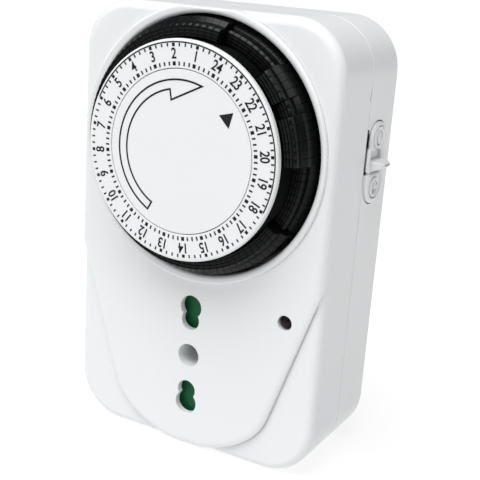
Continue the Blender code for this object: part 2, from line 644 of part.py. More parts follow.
def make_contact_carrier(black):
    carrier = block("contact_carrier", (-9 * MM, -25.6 * MM, SOCKET_Z - 19 * MM),
                    (9 * MM, -11.5 * MM, SOCKET_Z + 19 * MM), black)
    pockets = {"live": (-16.6, -6.6), "earth": (-4.4, 4.4), "neutral": (6.6, 16.6)}
    for name, (low, high) in pockets.items():
        cut(carrier, block("pocket_" + name, (-4.6 * MM, -30 * MM, SOCKET_Z + low * MM),
                           (4.6 * MM, -8 * MM, SOCKET_Z + high * MM)))
    return carrier


def make_contact_clip(name, centre_z, height, mouth_y, bronze):
    """Two spring fingers that grip a pin, joined at the rear."""
    inner = 2.2 * MM
    outer = 2.8 * MM
    throat_y = mouth_y + 2.7 * MM
    rear_y = -12.9 * MM
    right = [(outer, rear_y), (outer, throat_y), (outer + 0.9 * MM, mouth_y), (inner + 0.9 * MM, mouth_y),
             (inner, throat_y), (inner, rear_y - 0.7 * MM)]
    outline = right + [(-x, y) for x, y in reversed(right)]
    return prism(name, outline, centre_z - height / 2, centre_z + height / 2, bronze, axis="Z")


def make_plug_pin(name, z, sleeved, link_y, nickel, black):
    """Plug pin with its flange inside the case; a sleeved pin has a neck under its sleeve."""
    neck = PIN_RADIUS - 0.5 * MM if sleeved else PIN_RADIUS - 0.001 * MM
    sleeve_end = 9.5 * MM
    profile = [(0.0, link_y), (1.5 * MM, link_y), (1.5 * MM, -8.0 * MM), (3.8 * MM, -8.0 * MM),
               (3.8 * MM, -6.5 * MM), (neck, -6.5 * MM), (neck, sleeve_end), (PIN_RADIUS, sleeve_end),
               (PIN_RADIUS, PIN_LENGTH - 1.2 * MM), (PIN_RADIUS - 0.8 * MM, PIN_LENGTH - 0.2 * MM),
               (PIN_RADIUS - 1.6 * MM, PIN_LENGTH), (0.0, PIN_LENGTH)]
    turned(name, profile, nickel, steps=16, place=(0.0, 0.0, z))
    if sleeved:
        tube_ring(name.replace("pin", "sleeve"), neck + 0.05 * MM, PIN_RADIUS, -6.1 * MM, sleeve_end - 0.1 * MM,
                  black, steps=16, place=(0.0, 0.0, z))


def make_lamp(purple, board_green, cream):
    place = (LED_X, 0.0, LED_Z)
    dome = [(LED_RADIUS * sin(angle), -30.8 * MM - LED_RADIUS * cos(angle) * 0.8)
            for angle in (0.0, radians(30), radians(60), radians(90))]
    profile = dome + [(LED_RADIUS, -29.6 * MM), (2.3 * MM, -29.6 * MM), (2.3 * MM, -28.6 * MM),
                      (0.0, -28.6 * MM)]
    turned("lamp_lens", profile, purple, steps=20, place=place)
    block("lamp_board", (21.5 * MM, -28.2 * MM, -20 * MM), (30.5 * MM, -27.0 * MM, -10 * MM), board_green)
    resistor = [(0.0, -18.4 * MM), (0.9 * MM, -18.4 * MM), (1.1 * MM, -17.6 * MM), (0.9 * MM, -16.8 * MM),
                (0.9 * MM, -14.0 * MM), (1.1 * MM, -13.2 * MM), (0.9 * MM, -12.4 * MM), (0.0, -12.4 * MM)]
    turned("lamp_resistor", resistor, cream, steps=12, place=(26.0 * MM, -25.5 * MM, 0.0), axis="Z")


def make_wires(brown, black, blue):
    routes = {
        "live_wire": (brown, [(4.8, -7.3, -43.25), (9.0, -7.0, -42.0), (14.5, -6.6, -34.0), (17.5, -6.6, -22.0),
                              (21.5, -7.0, -13.5), (26.0, -8.4, -10.0)]),
        "switched_wire": (black, [(0.0, -10.6, -47.5), (5.0, -9.8, -49.0), (11.5, -9.6, -44.0),
                                  (19.5, -9.0, -30.0), (26.0, -6.8, -19.5), (29.0, -4.0, -12.0),
                                  (28.0, -3.7, -7.0), (26.0, -3.7, 1.0)]),
        "neutral_wire": (blue, [(-4.8, -7.3, -17.25), (-9.0, -7.0, -15.0), (-11.5, -6.2, -6.0),
                                (-11.0, -4.8, 2.0), (-10.0, -3.9, 7.6)]),
    }
    for name, (surface, corners) in routes.items():
        points = smooth_route([Vector(corner) * MM for corner in corners], 4)
        swept_wire(name, points, 0.8 * MM, 7, surface)


def build():
    remove_scene_objects()
    white = plastic_or_metal("white_plastic", (0.84, 0.85, 0.855), 0.38)
    face_white = plastic_or_metal("dial_white", (0.86, 0.87, 0.87), 0.45)
    black = plastic_or_metal("black_plastic", (0.012, 0.013, 0.013), 0.35)
    green = plastic_or_metal("green_plastic", (0.03, 0.12, 0.04), 0.4)
    purple = plastic_or_metal("lamp_tint", (0.05, 0.015, 0.03), 0.15)
    natural = plastic_or_metal("natural_acetal", (0.75, 0.73, 0.66), 0.4)
    amber = plastic_or_metal("amber_acetal", (0.6, 0.3, 0.05), 0.4)
    steel = plastic_or_metal("plated_steel", (0.6, 0.6, 0.62), 0.3, 1.0)
    nickel = plastic_or_metal("nickel", (0.7, 0.69, 0.66), 0.22, 1.0)
    bronze = plastic_or_metal("spring_bronze", (0.7, 0.45, 0.2), 0.3, 1.0)
    tin = plastic_or_metal("tinplate", (0.62, 0.62, 0.6), 0.35, 1.0)
    copper = plastic_or_metal("coil_winding", (0.45, 0.14, 0.05), 0.4, 0.6)
    magnet = plastic_or_metal("ferrite", (0.06, 0.06, 0.065), 0.55)
    board_green = plastic_or_metal("board", (0.02, 0.15, 0.06), 0.45)
    cream = plastic_or_metal("resistor_body", (0.65, 0.55, 0.4), 0.5)
    brown = plastic_or_metal("brown_insulation", (0.15, 0.06, 0.03), 0.5)
    blue = plastic_or_metal("blue_insulation", (0.03, 0.1, 0.4), 0.5)

    make_front_housing(white)
    make_rear_housing(white)
    for number, (x, z) in enumerate(screw_places(), start=1):
        make_screw(f"housing_screw_{number}", x, z, -1.8 * MM, -24 * MM, 1.2 * MM, 2.5 * MM, steel)
    for number, (x, z) in enumerate(PLATE_POSTS, start=1):
        make_screw(f"plate_screw_{number}", x, z, PLATE_REAR_Y + 1.9 * MM, -27 * MM, 1.0 * MM, 2.1 * MM, steel)

    make_drum(black)
    make_dial_face(face_white)
    make_centre_disc(face_white)
    make_spindle(steel)
    make_spindle_nut(steel)
    for number, (first_hour, last_hour, offset) in enumerate(TAPPET_GROUPS, start=1):
        make_tappets(number, first_hour, last_hour, offset, black)

    make_movement_plate(natural)
    make_transfer_gear(natural)
    make_transfer_axle(steel)
    make_motor(tin, copper, magnet, natural)
    make_follower(amber, steel)
    make_switch(black, natural, bronze)
    make_override(white)

    make_shutter(green)
    make_shutter_spring(steel)
    make_contact_carrier(black)
    clip_mouth_y = -25.2 * MM
    make_contact_clip("clip_live", SOCKET_Z - 11.5 * MM, 8.8 * MM, clip_mouth_y, bronze)
    make_contact_clip("clip_earth", SOCKET_Z, 5.6 * MM, EARTH_TUBE_END_Y + 0.4 * MM, bronze)
    make_contact_clip("clip_neutral", SOCKET_Z + 11.5 * MM, 8.8 * MM, clip_mouth_y, bronze)
    heights = contact_heights()
    linked_y = -12.6 * MM
    make_plug_pin("pin_live", heights["live"], True, -8.6 * MM, nickel, black)
    make_plug_pin("pin_earth", heights["earth"], False, linked_y, nickel, black)
    make_plug_pin("pin_neutral", heights["neutral"], True, linked_y, nickel, black)
    make_lamp(purple, board_green, cream)
    make_wires(brown, black, blue)


build()
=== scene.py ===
"""Looks of the plug-in timer: finished shells, dial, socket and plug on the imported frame.

The case's front faces -Y and the dial turns about Y. Lengths are millimetres times MM.
"""
import json
from math import atan2, cos, pi, radians, sin

import bmesh
import bpy
from mathutils import Matrix, Vector


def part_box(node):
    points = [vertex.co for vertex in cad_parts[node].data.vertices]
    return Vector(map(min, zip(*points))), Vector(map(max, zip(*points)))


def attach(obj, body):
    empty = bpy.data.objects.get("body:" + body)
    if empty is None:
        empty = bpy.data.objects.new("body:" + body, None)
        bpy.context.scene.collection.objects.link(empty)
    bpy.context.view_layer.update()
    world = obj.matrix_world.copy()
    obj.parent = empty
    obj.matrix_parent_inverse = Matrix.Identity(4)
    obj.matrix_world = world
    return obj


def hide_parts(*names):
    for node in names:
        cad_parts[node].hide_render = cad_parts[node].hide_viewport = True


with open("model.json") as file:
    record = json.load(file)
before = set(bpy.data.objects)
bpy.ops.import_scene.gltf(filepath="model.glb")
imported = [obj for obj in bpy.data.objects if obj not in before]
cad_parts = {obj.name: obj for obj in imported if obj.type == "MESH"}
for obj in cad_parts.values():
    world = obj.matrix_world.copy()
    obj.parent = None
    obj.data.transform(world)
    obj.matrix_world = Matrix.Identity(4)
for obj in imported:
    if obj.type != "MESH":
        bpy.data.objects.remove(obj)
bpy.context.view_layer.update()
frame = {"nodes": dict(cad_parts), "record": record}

MM = 0.001

# Driving places and sizes, read off the frame
CASE_LOW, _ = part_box("rear_housing")
FRONT_LOW, FRONT_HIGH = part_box("front_housing")
DISC_LOW, DISC_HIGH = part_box("centre_disc")
_, DRUM_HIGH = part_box("dial_drum")
RING_LOW, RING_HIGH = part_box("dial_face")
SURROUND_LOW, SURROUND_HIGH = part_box("switch_surround")
SHUTTER_LOW, SHUTTER_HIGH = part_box("socket_shutter")
LENS_LOW, LENS_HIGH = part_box("lamp_lens")

BODY_WIDTH = FRONT_HIGH.x - FRONT_LOW.x
BODY_HEIGHT = FRONT_HIGH.z - FRONT_LOW.z
FRONT_Y = FRONT_LOW.y + 0.9 * MM  # the collar stands in front of it
FRONT_REAR_Y = FRONT_HIGH.y
REAR_FRONT_Y = CASE_LOW.y
CORNER_RADIUS = 13.0 * MM
WALL = 2.0 * MM
FRONT_WALL = 2.6 * MM
REAR_WALL = 2.2 * MM
REAR_ROUND = 0.6 * MM
FLOOR_Y = FRONT_Y + 1.5 * MM  # the recessed corners beside the socket panel
INSIDE_Y = FLOOR_Y + 0.5 * MM  # where bosses and posts start, within the front wall
FRONT_ROUND = 2.4 * MM
LOWER_ROUND = 2.2 * MM
SEAM_ROUND = 0.2 * MM
COLLAR_Y = FRONT_LOW.y
SCREW_PLACES = [(side_x * 27.0 * MM, side_z * 47.0 * MM) for side_z in (1, -1) for side_x in (-1, 1)]
PLATE_SCREW_PLACES = [(-26.0 * MM, -7.0 * MM), (14.0 * MM, -8.0 * MM)]

DIAL_Z = (DISC_LOW.z + DISC_HIGH.z) / 2
DIAL_PLACE = (0.0, 0.0, DIAL_Z)
FACE_Y = DISC_LOW.y + 0.05 * MM
PRINT_Y = DISC_LOW.y + 0.01 * MM
PRINT_REAR_Y = FACE_Y + 0.02 * MM
DISC_RADIUS = (DISC_HIGH.x - DISC_LOW.x) / 2
RING_RADIUS = (RING_HIGH.x - RING_LOW.x) / 2
OPENING_RADIUS = 31.05 * MM
OPENING_PLACE = (0.55 * MM, 0.0, DIAL_Z)
DIAL_STEPS = 160  # sides of the collar and its opening
COLLAR_RADIUS = 33.25 * MM
DRUM_RADIUS = 25.4 * MM
TAPPET_BORE = 25.9 * MM
TAPPET_RADIUS = 30.42 * MM
TAPPET_PHASE = radians(-1.25)
HOUR_ANGLE = radians(15.0)
HOUR_24_ANGLE = radians(23.33)
TAPPETS_PER_HOUR = 4
# Each group: first hour, last hour, and how far it stands in (+) or out (-) of the usual place
TAPPET_GROUPS = [
    (0.75, 3.0, -1.5), (3.0, 5.25, -1.5), (5.25, 7.75, -1.5), (7.75, 10.25, -1.5), (10.25, 12.75, -1.5),
    (12.75, 15.25, -1.5), (15.25, 17.5, -1.5), (17.5, 19.75, 1.5), (19.75, 21.25, -3.4),
    (21.25, 21.75, -2.1), (21.75, 22.75, -3.4), (22.75, 24.75, 1.5),
]

SOCKET_Z = (SHUTTER_LOW.z + SHUTTER_HIGH.z) / 2
WIDE_SPACING = 13.0 * MM
NARROW_SPACING = 9.5 * MM
WIDE_HOLE_RADIUS = 2.95 * MM
NARROW_HOLE_RADIUS = 2.5 * MM
LENS_X = (LENS_LOW.x + LENS_HIGH.x) / 2
LENS_Z = (LENS_LOW.z + LENS_HIGH.z) / 2
LENS_RADIUS = 1.7 * MM

SWITCH_Y = (SURROUND_LOW.y + SURROUND_HIGH.y) / 2
SWITCH_Z = (SURROUND_LOW.z + SURROUND_HIGH.z) / 2
SWITCH_WIDTH = SURROUND_HIGH.y - SURROUND_LOW.y
SWITCH_HEIGHT = SURROUND_HIGH.z - SURROUND_LOW.z
SWITCH_X = SURROUND_HIGH.x
WINDOW_LOW, WINDOW_HIGH = 18.9 * MM, 24.8 * MM
SLIDER_TRAVEL = 2.0 * MM
PAD_X = 34.4 * MM
# Slots at the seam ahead of the switch: lower end, upper end and reach past the seam
WIDE_REACH = 0.85 * MM
NARROW_SLOT = (20.1 * MM, 25.9 * MM, 0.15 * MM)
SWITCH_SLOTS = [(25.8 * MM, 30.3 * MM, WIDE_REACH), NARROW_SLOT, (19.4 * MM, 20.2 * MM, WIDE_REACH)]
SLOT_SKIN_X = 34.8 * MM

# Where cutting tools end
FAR = 60.0 * MM  # well clear of the case
HOLLOW_Y = -20.0 * MM  # within the hollow case
PAST_SEAM_Y = -10.0 * MM  # behind the front shell
SIDE_LOW_X, SIDE_HIGH_X = 30.0 * MM, 40.0 * MM  # on either side of the right-hand wall


# Outlines: lists of (x, z) pairs, anticlockwise as seen from the front

def arc(radius, start, end, steps, centre=(0.0, 0.0)):
    angles = [start + (end - start) * step / steps for step in range(steps + 1)]
    return [(centre[0] + radius * cos(angle), centre[1] + radius * sin(angle)) for angle in angles]


def circle(radius, steps, centre=(0.0, 0.0)):
    return arc(radius, 0.0, 2 * pi, steps, centre)[:-1]


def rounded_rectangle(width, height, radius, steps, centre=(0.0, 0.0)):
    points = []
    for quarter, (side_x, side_z) in enumerate(((1, 1), (-1, 1), (-1, -1), (1, -1))):
        corner = (centre[0] + side_x * (width / 2 - radius), centre[1] + side_z * (height / 2 - radius))
        points += arc(radius, quarter * pi / 2, (quarter + 1) * pi / 2, steps, corner)
    return points


def soften(corners, steps):
    """Closed outline through (point, rounding in millimetres) pairs, with a smooth bend at each corner."""
    points = []
    for index, (corner, size) in enumerate(corners):
        middle = Vector(corner)
        if size == 0.0:
            points.append(tuple(middle))
            continue
        before = Vector(corners[index - 1][0]) - middle
        after = Vector(corners[(index + 1) % len(corners)][0]) - middle
        start = middle + before.normalized() * (size * MM)
        end = middle + after.normalized() * (size * MM)
        for step in range(steps + 1):
            t = step / steps
            points.append(tuple((1 - t) ** 2 * start + 2 * t * (1 - t) * middle + t ** 2 * end))
    return points


def quarter_round(steps):
    """Points of a rounded edge as shares of its radius: how far in and how far along, from the flat on."""
    angles = [pi / 2 * step / steps for step in range(steps + 1)]
    return [(1 - sin(angle), 1 - cos(angle)) for angle in angles]


def edge_sections(outline_at, radius, edge_y, direction, steps):
    """Outlines that round the edge where the flat at edge_y meets the sides; direction is +1 towards +Y."""
    return [(outline_at(radius * inward), edge_y + direction * radius * along)
            for inward, along in quarter_round(steps)]


# Meshes

def to_space(axis, pair, depth):
    """Point whose coordinate along the axis is the depth, the pair being the other two in order."""
    point = list(pair)
    point.insert("XYZ".index(axis), depth)
    return Vector(point)


def add_piece(name, mesh, weld=False):
    if weld:
        bmesh.ops.remove_doubles(mesh, verts=mesh.verts, dist=0.001 * MM)
    bmesh.ops.recalc_face_normals(mesh, faces=mesh.faces)
    data = bpy.data.meshes.new(name)
    mesh.to_mesh(data)
    mesh.free()
    piece = bpy.data.objects.new(name, data)
    bpy.context.collection.objects.link(piece)
    return piece


def bridge(mesh, first, second):
    """Faces between two rings of equal point counts; a ring can be one point repeated."""
    count = len(first)
    for index in range(count):
        following = (index + 1) % count
        corners = dict.fromkeys((first[index], first[following], second[following], second[index]))
        if len(corners) > 2:
            mesh.faces.new(list(corners))


def skin(mesh, rings):
    """Closed surface through rings of equal point counts, capped at both ends."""
    loops = [[mesh.verts.new(point) for point in ring] for ring in rings]
    for lower, upper in zip(loops, loops[1:]):
        bridge(mesh, lower, upper)
    mesh.faces.new(loops[0])
    mesh.faces.new(loops[-1])


def wrap(mesh, loops):
    """Closed surface from each loop of vertices to the next, and from the last back to the first."""
    for first, second in zip(loops, loops[1:] + loops[:1]):
        bridge(mesh, first, second)


def loft(name, sections, axis="Y", place=(0.0, 0.0, 0.0)):
    """Closed solid through (outline, depth) sections along the axis."""
    mesh = bmesh.new()
    skin(mesh, [[to_space(axis, pair, depth) + Vector(place) for pair in outline]
                for outline, depth in sections])
    return add_piece(name, mesh)


def prism(name, outline, low, high, axis="Y", place=(0.0, 0.0, 0.0)):
    return loft(name, [(outline, low), (outline, high)], axis, place)


def rod(name, place, radius, low, high, steps=32):
    """Round prism along Y through the (x, z) place."""
    return prism(name, circle(radius, steps, place), low, high)


def cushioned(name, outline_at, low, high, round_low, round_high, axis="Y"):
    """Prism with rounded edges at both ends; outline_at gives the outline for an inset."""
    lower = edge_sections(outline_at, round_low, low, 1, 4)
    upper = edge_sections(outline_at, round_high, high, -1, 4)
    return loft(name, lower + upper[::-1], axis)


def turned(name, profile, steps, place, axis="Y"):
    """Solid of revolution about the axis through place; profile is a closed loop of (radius, depth)."""
    mesh = bmesh.new()
    loops = []
    for radius, depth in profile:
        pairs = [(0.0, 0.0)] if abs(radius) < 1e-9 else circle(radius, steps)
        loop = [mesh.verts.new(to_space(axis, pair, depth) + Vector(place)) for pair in pairs]
        loops.append(loop * steps if len(loop) == 1 else loop)
    wrap(mesh, loops)
    return add_piece(name, mesh)


def combine(piece, tool, operation):
    modifier = piece.modifiers.new("combine", "BOOLEAN")
    modifier.operation = operation
    modifier.object = tool
    modifier.solver = "EXACT"
    graph = bpy.context.evaluated_depsgraph_get()
    result = bpy.data.meshes.new_from_object(piece.evaluated_get(graph))
    piece.modifiers.clear()
    piece.data = result
    bpy.data.objects.remove(tool, do_unlink=True)


def cut(piece, tool):
    combine(piece, tool, "DIFFERENCE")


def join(piece, tool):
    combine(piece, tool, "UNION")


def finish_piece(piece, body, slot, node=None, sharp=32.0, surface=None):
    """Shading, finish and place in the frame; the surface is the slot's own unless another is named."""
    piece.data.materials.clear()
    piece.data.materials.append(SURFACES[surface or slot])
    for polygon in piece.data.polygons:
        polygon.material_index = 0
    piece.data.shade_smooth()
    piece.data.set_sharp_from_angle(angle=radians(sharp))
    weighting = piece.modifiers.new("flat_faces_stay_flat", "WEIGHTED_NORMAL")
    weighting.keep_sharp = True
    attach(piece, body)
    if node:
        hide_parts(node)


# Materials

SURFACES = {}


class Surface:
    """Principled material built up from small layers of procedural detail in object space."""

    def __init__(self, name, metallic=0.0, ior=1.5, coat=0.0, transmission=0.0, specular=0.5):
        self.material = bpy.data.materials.new(name)
        SURFACES[name] = self.material
        self.material.use_nodes = True
        self.nodes = self.material.node_tree.nodes
        self.links = self.material.node_tree.links
        self.shader = self.nodes["Principled BSDF"]
        self.place = self.nodes.new("ShaderNodeTexCoord").outputs["Object"]
        self.bump = None
        self.fix({"Metallic": metallic, "IOR": ior, "Coat Weight": coat, "Coat Roughness": 0.12,
                  "Transmission Weight": transmission, "Specular IOR Level": specular})

    def fix(self, values):
        """Sets sockets of the shader to values that are the same all over."""
        for socket, value in values.items():
            self.shader.inputs[socket].default_value = value

    def noise(self, feature, detail=3.0, stretch=(1.0, 1.0, 1.0)):
        """Noise whose features are about that size, drawn out along an axis by stretch."""
        mapping = self.nodes.new("ShaderNodeMapping")
        mapping.inputs["Scale"].default_value = [1.0 / (feature * share) for share in stretch]
        texture = self.nodes.new("ShaderNodeTexNoise")
        texture.inputs["Scale"].default_value = 1.0
        texture.inputs["Detail"].default_value = detail
        self.links.new(self.place, mapping.inputs["Vector"])
        self.links.new(mapping.outputs["Vector"], texture.inputs["Vector"])
        return texture.outputs["Fac"]

    def spread(self, value, low, high, start=0.3, end=0.7):
        """The value, stretched from start..end to low..high."""
        node = self.nodes.new("ShaderNodeMapRange")
        for socket, number in (("From Min", start), ("From Max", end), ("To Min", low), ("To Max", high)):
            node.inputs[socket].default_value = number
        self.links.new(value, node.inputs["Value"])
        return node.outputs["Result"]

    def edges(self, radius):
        """1 on convex and concave edges within radius, 0 on flats."""
        rounded = self.nodes.new("ShaderNodeBevel")
        rounded.samples = 4
        rounded.inputs["Radius"].default_value = radius
        flat = self.nodes.new("ShaderNodeNewGeometry")
        dot = self.nodes.new("ShaderNodeVectorMath")
        dot.operation = "DOT_PRODUCT"
        self.links.new(rounded.outputs["Normal"], dot.inputs[0])
        self.links.new(flat.outputs["Normal"], dot.inputs[1])
        return self.spread(dot.outputs["Value"], 1.0, 0.0, 0.86, 0.995)

    def mixed(self, marked, mask):
        """Colour mix on the shader that goes to marked where the mask is 1; its other side is still open."""
        mix = self.nodes.new("ShaderNodeMix")
        mix.data_type = "RGBA"
        mix.inputs["B"].default_value = (*marked, 1.0)
        self.links.new(mask, mix.inputs["Factor"])
        self.links.new(mix.outputs["Result"], self.shader.inputs["Base Color"])
        return mix.inputs["A"]

    def colour(self, base, marked, value, start=0.3, end=0.7):
        """Base colour where the value is below start, marked colour where it is above end."""
        self.mixed(marked, self.spread(value, 0.0, 1.0, start, end)).default_value = (*base, 1.0)
        self.material.diffuse_color = (*base, 1.0)

    def tint(self, marked, mask):
        """Lays another colour over the present one."""
        below = self.shader.inputs["Base Color"].links[0].from_socket
        self.links.new(below, self.mixed(marked, mask))

    def roughness(self, value, low, high):
        self.links.new(self.spread(value, low, high), self.shader.inputs["Roughness"])

    def relief(self, height, depth):
        """Adds surface height as bump; several layers stack."""
        node = self.nodes.new("ShaderNodeBump")
        node.inputs["Distance"].default_value = depth
        self.links.new(height, node.inputs["Height"])
        if self.bump:
            self.links.new(self.bump.outputs["Normal"], node.inputs["Normal"])
        self.bump = node
        self.links.new(node.outputs["Normal"], self.shader.inputs["Normal"])


def moulded(name, base, shade, roughness, grain=0.16 * MM, grain_depth=0.0012 * MM, worn=None, **shader):
    """Moulded plastic: faint flow marks, fine spark-eroded grain and, if asked for, rubbed edges."""
    surface = Surface(name, **shader)
    surface.colour(base, shade, surface.noise(14 * MM, 4.0))
    if worn:
        rub = surface.edges(0.25 * MM)
        patchy = surface.spread(surface.noise(2.2 * MM, 4.0), 0.0, 0.6, 0.42, 0.68)
        both = surface.nodes.new("ShaderNodeMath")
        both.operation = "MULTIPLY"
        surface.links.new(rub, both.inputs[0])
        surface.links.new(patchy, both.inputs[1])
        surface.tint(worn, both.outputs["Value"])
    surface.roughness(surface.noise(3.5 * MM, 5.0), *roughness)
    surface.relief(surface.noise(14 * MM, 1.0), 0.0015 * MM)
    surface.relief(surface.noise(grain, 2.0), grain_depth)


def metal(name, base, shade, roughness, stretch=(1.0, 1.0, 1.0), scratch=0.5 * MM):
    surface = Surface(name, metallic=1.0)
    surface.colour(base, shade, surface.noise(5 * MM, 5.0))
    surface.roughness(surface.noise(scratch, 4.0, stretch), *roughness)
    surface.relief(surface.noise(scratch, 3.0, stretch), 0.004 * MM)


def ink(name, base, shade):
    """Pad-printed ink, slightly uneven in coverage."""
    surface = Surface(name, specular=0.25)
    surface.colour(base, shade, surface.noise(0.35 * MM, 4.0), 0.35, 0.75)
    surface.roughness(surface.noise(0.8 * MM, 3.0), 0.38, 0.55)
    surface.relief(surface.noise(0.12 * MM, 2.0), 0.003 * MM)


def lens_plastic(name):
    surface = Surface(name, ior=1.49, transmission=0.1, specular=0.15)
    surface.colour((0.005, 0.003, 0.004), (0.012, 0.005, 0.008), surface.noise(1.2 * MM, 3.0))
    surface.roughness(surface.noise(0.8 * MM, 3.0), 0.08, 0.2)
    surface.relief(surface.noise(1.5 * MM, 2.0), 0.006 * MM)


def fibre_board(name):
    surface = Surface(name, coat=0.3)
    weave = surface.noise(0.5 * MM, 2.0, (1.0, 1.0, 4.0))
    surface.colour((0.015, 0.11, 0.045), (0.035, 0.19, 0.08), weave)
    surface.roughness(surface.noise(2 * MM, 3.0), 0.35, 0.5)
    surface.relief(weave, 0.01 * MM)


def wound_wire(name):
    """Enamelled winding: fine turns side by side."""
    surface = Surface(name, metallic=0.5, coat=0.5)
    turns = surface.noise(0.22 * MM, 1.0, (60.0, 1.0, 60.0))
    surface.colour((0.42, 0.12, 0.04), (0.2, 0.05, 0.02), turns)
    surface.roughness(turns, 0.25, 0.5)
    surface.relief(turns, 0.08 * MM)


def make_surfaces():
    moulded("case_white", (0.80, 0.815, 0.82), (0.795, 0.81, 0.816), (0.35, 0.38),
            grain_depth=0.0004 * MM)
    moulded("dial_white", (0.79, 0.805, 0.81), (0.782, 0.797, 0.802), (0.4, 0.46),
            grain=0.1 * MM, grain_depth=0.0004 * MM)
    moulded("black_plastic", (0.003, 0.0034, 0.0036), (0.0045, 0.005, 0.0054), (0.2, 0.3),
            grain=0.12 * MM, grain_depth=0.0008 * MM, specular=0.15)
    moulded("shutter_green", (0.008, 0.108, 0.036), (0.010, 0.125, 0.042), (0.32, 0.45),
            worn=(0.02, 0.12, 0.045), specular=0.2)
    lens_plastic("lamp_tint")
    moulded("natural_plastic", (0.74, 0.71, 0.62), (0.66, 0.63, 0.55), (0.35, 0.5))
    moulded("amber_plastic", (0.55, 0.25, 0.04), (0.42, 0.18, 0.03), (0.3, 0.45))
    metal("plated_steel", (0.62, 0.62, 0.63), (0.5, 0.5, 0.5), (0.24, 0.42))
    metal("nickel_brass", (0.72, 0.7, 0.66), (0.6, 0.575, 0.53), (0.16, 0.34),
          stretch=(8.0, 0.6, 8.0), scratch=0.3 * MM)
    metal("spring_bronze", (0.72, 0.45, 0.2), (0.55, 0.32, 0.13), (0.25, 0.42))
    metal("tinplate", (0.6, 0.6, 0.58), (0.46, 0.46, 0.45), (0.3, 0.5), scratch=2 * MM)
    wound_wire("coil_winding")
    moulded("ferrite", (0.055, 0.055, 0.06), (0.035, 0.035, 0.038), (0.5, 0.7))
    fibre_board("circuit_board")
    moulded("resistor_body", (0.62, 0.52, 0.36), (0.5, 0.4, 0.28), (0.4, 0.55))
    moulded("wire_brown", (0.14, 0.055, 0.025), (0.1, 0.04, 0.02), (0.42, 0.55))
    moulded("wire_black", (0.02, 0.02, 0.02), (0.03, 0.03, 0.03), (0.42, 0.55))
    moulded("wire_blue", (0.03, 0.1, 0.38), (0.02, 0.075, 0.3), (0.42, 0.55))
    ink("ink", (0.004, 0.004, 0.005), (0.010, 0.010, 0.012))


# Case

def body_outline(inset, steps=14):
    return rounded_rectangle(BODY_WIDTH - 2 * inset, BODY_HEIGHT - 2 * inset, CORNER_RADIUS - inset, steps)


def flank(shift):
    """Right-hand flank of the socket panel down to its tip, moved by shift towards the panel."""
    corners = ((36.0, -1.5), (23.3, -40.45), (19.5, -53.0), (0.0, -55.6))
    top, bend, pull, tip = (Vector(pair) * MM for pair in corners)
    along = [top, bend]
    steps = 22
    for step in range(1, steps + 1):
        t = step / steps
        along.append((1 - t) ** 2 * bend + 2 * t * (1 - t) * pull + t ** 2 * tip)
    moved = []
    for index, point in enumerate(along):
        direction = (along[min(index + 1, len(along) - 1)] - along[max(index - 1, 0)]).normalized()
        moved.append(point + shift * Vector((direction.y, -direction.x)))
    return moved


def lower_corners(shift):
    """Region below the socket panel and beside both its flanks."""
    *right, tip = flank(shift)
    left = [(-point.x, point.y) for point in reversed(right)]
    beyond = 36.0 * MM
    return [tuple(point) for point in right] + [(0.0, tip.y)] + left + [(-beyond, -FAR), (beyond, -FAR)]


def double_hole(side, growth):
    """Two round holes that run into each other, for the narrow and the wide pin spacing."""
    wide_radius = WIDE_HOLE_RADIUS + growth
    narrow_radius = NARROW_HOLE_RADIUS + growth
    wide = (0.0, SOCKET_Z + side * WIDE_SPACING)
    narrow = (0.0, SOCKET_Z + side * NARROW_SPACING)
    distance = WIDE_SPACING - NARROW_SPACING
    crossing = (distance ** 2 + narrow_radius ** 2 - wide_radius ** 2) / (2 * distance)
    half_width = (narrow_radius ** 2 - crossing ** 2) ** 0.5
    wide_angle = atan2(-side * (distance - crossing), half_width)
    narrow_angle = atan2(side * crossing, half_width)
    outer = arc(wide_radius, wide_angle, side * pi - wide_angle, 40, wide)
    inner = arc(narrow_radius, side * pi - narrow_angle, side * 2 * pi + narrow_angle, 32, narrow)
    return outer + inner[1:-1]


def hole_tool(name, outline_at, lip):
    """Tool for a hole through the front wall whose mouth is rounded by lip."""
    mouth = edge_sections(outline_at, lip, FRONT_Y, 1, 4)
    return loft(name, [(outline_at(lip), -FAR)] + mouth + [(outline_at(0.0), HOLLOW_Y)])


def round_hole(name, x, z, radius, lip):
    return hole_tool(name, lambda growth: circle(radius + growth, 48, (x, z)), lip)


def recess_lower_corners(shell):
    """Cuts the corners beside the socket panel down to a floor that keeps its own rounded edge."""
    swell = 0.01 * MM
    floor = edge_sections(lambda inset: body_outline(inset - swell), LOWER_ROUND, FLOOR_Y, 1, 8)
    kept = loft("lower_floor", floor + [(body_outline(-swell), PAST_SEAM_Y)])
    round_width, round_depth = 1.9 * MM, 0.8 * MM
    edge = [(lower_corners(round_width * inward), FRONT_Y + round_depth * along)
            for inward, along in quarter_round(8)]
    recess = loft("recess", [(lower_corners(round_width), -FAR)] + edge + [(lower_corners(0.0), HOLLOW_Y)])
    cut(recess, kept)
    cut(shell, recess)
    groove_width, groove_depth = 0.32 * MM, 0.3 * MM
    groove = prism("flank_groove", lower_corners(0.0), -FAR, FLOOR_Y + groove_depth)
    cut(groove, prism("beyond_groove", lower_corners(-groove_width), -FAR - MM, 0.0))
    cut(shell, groove)


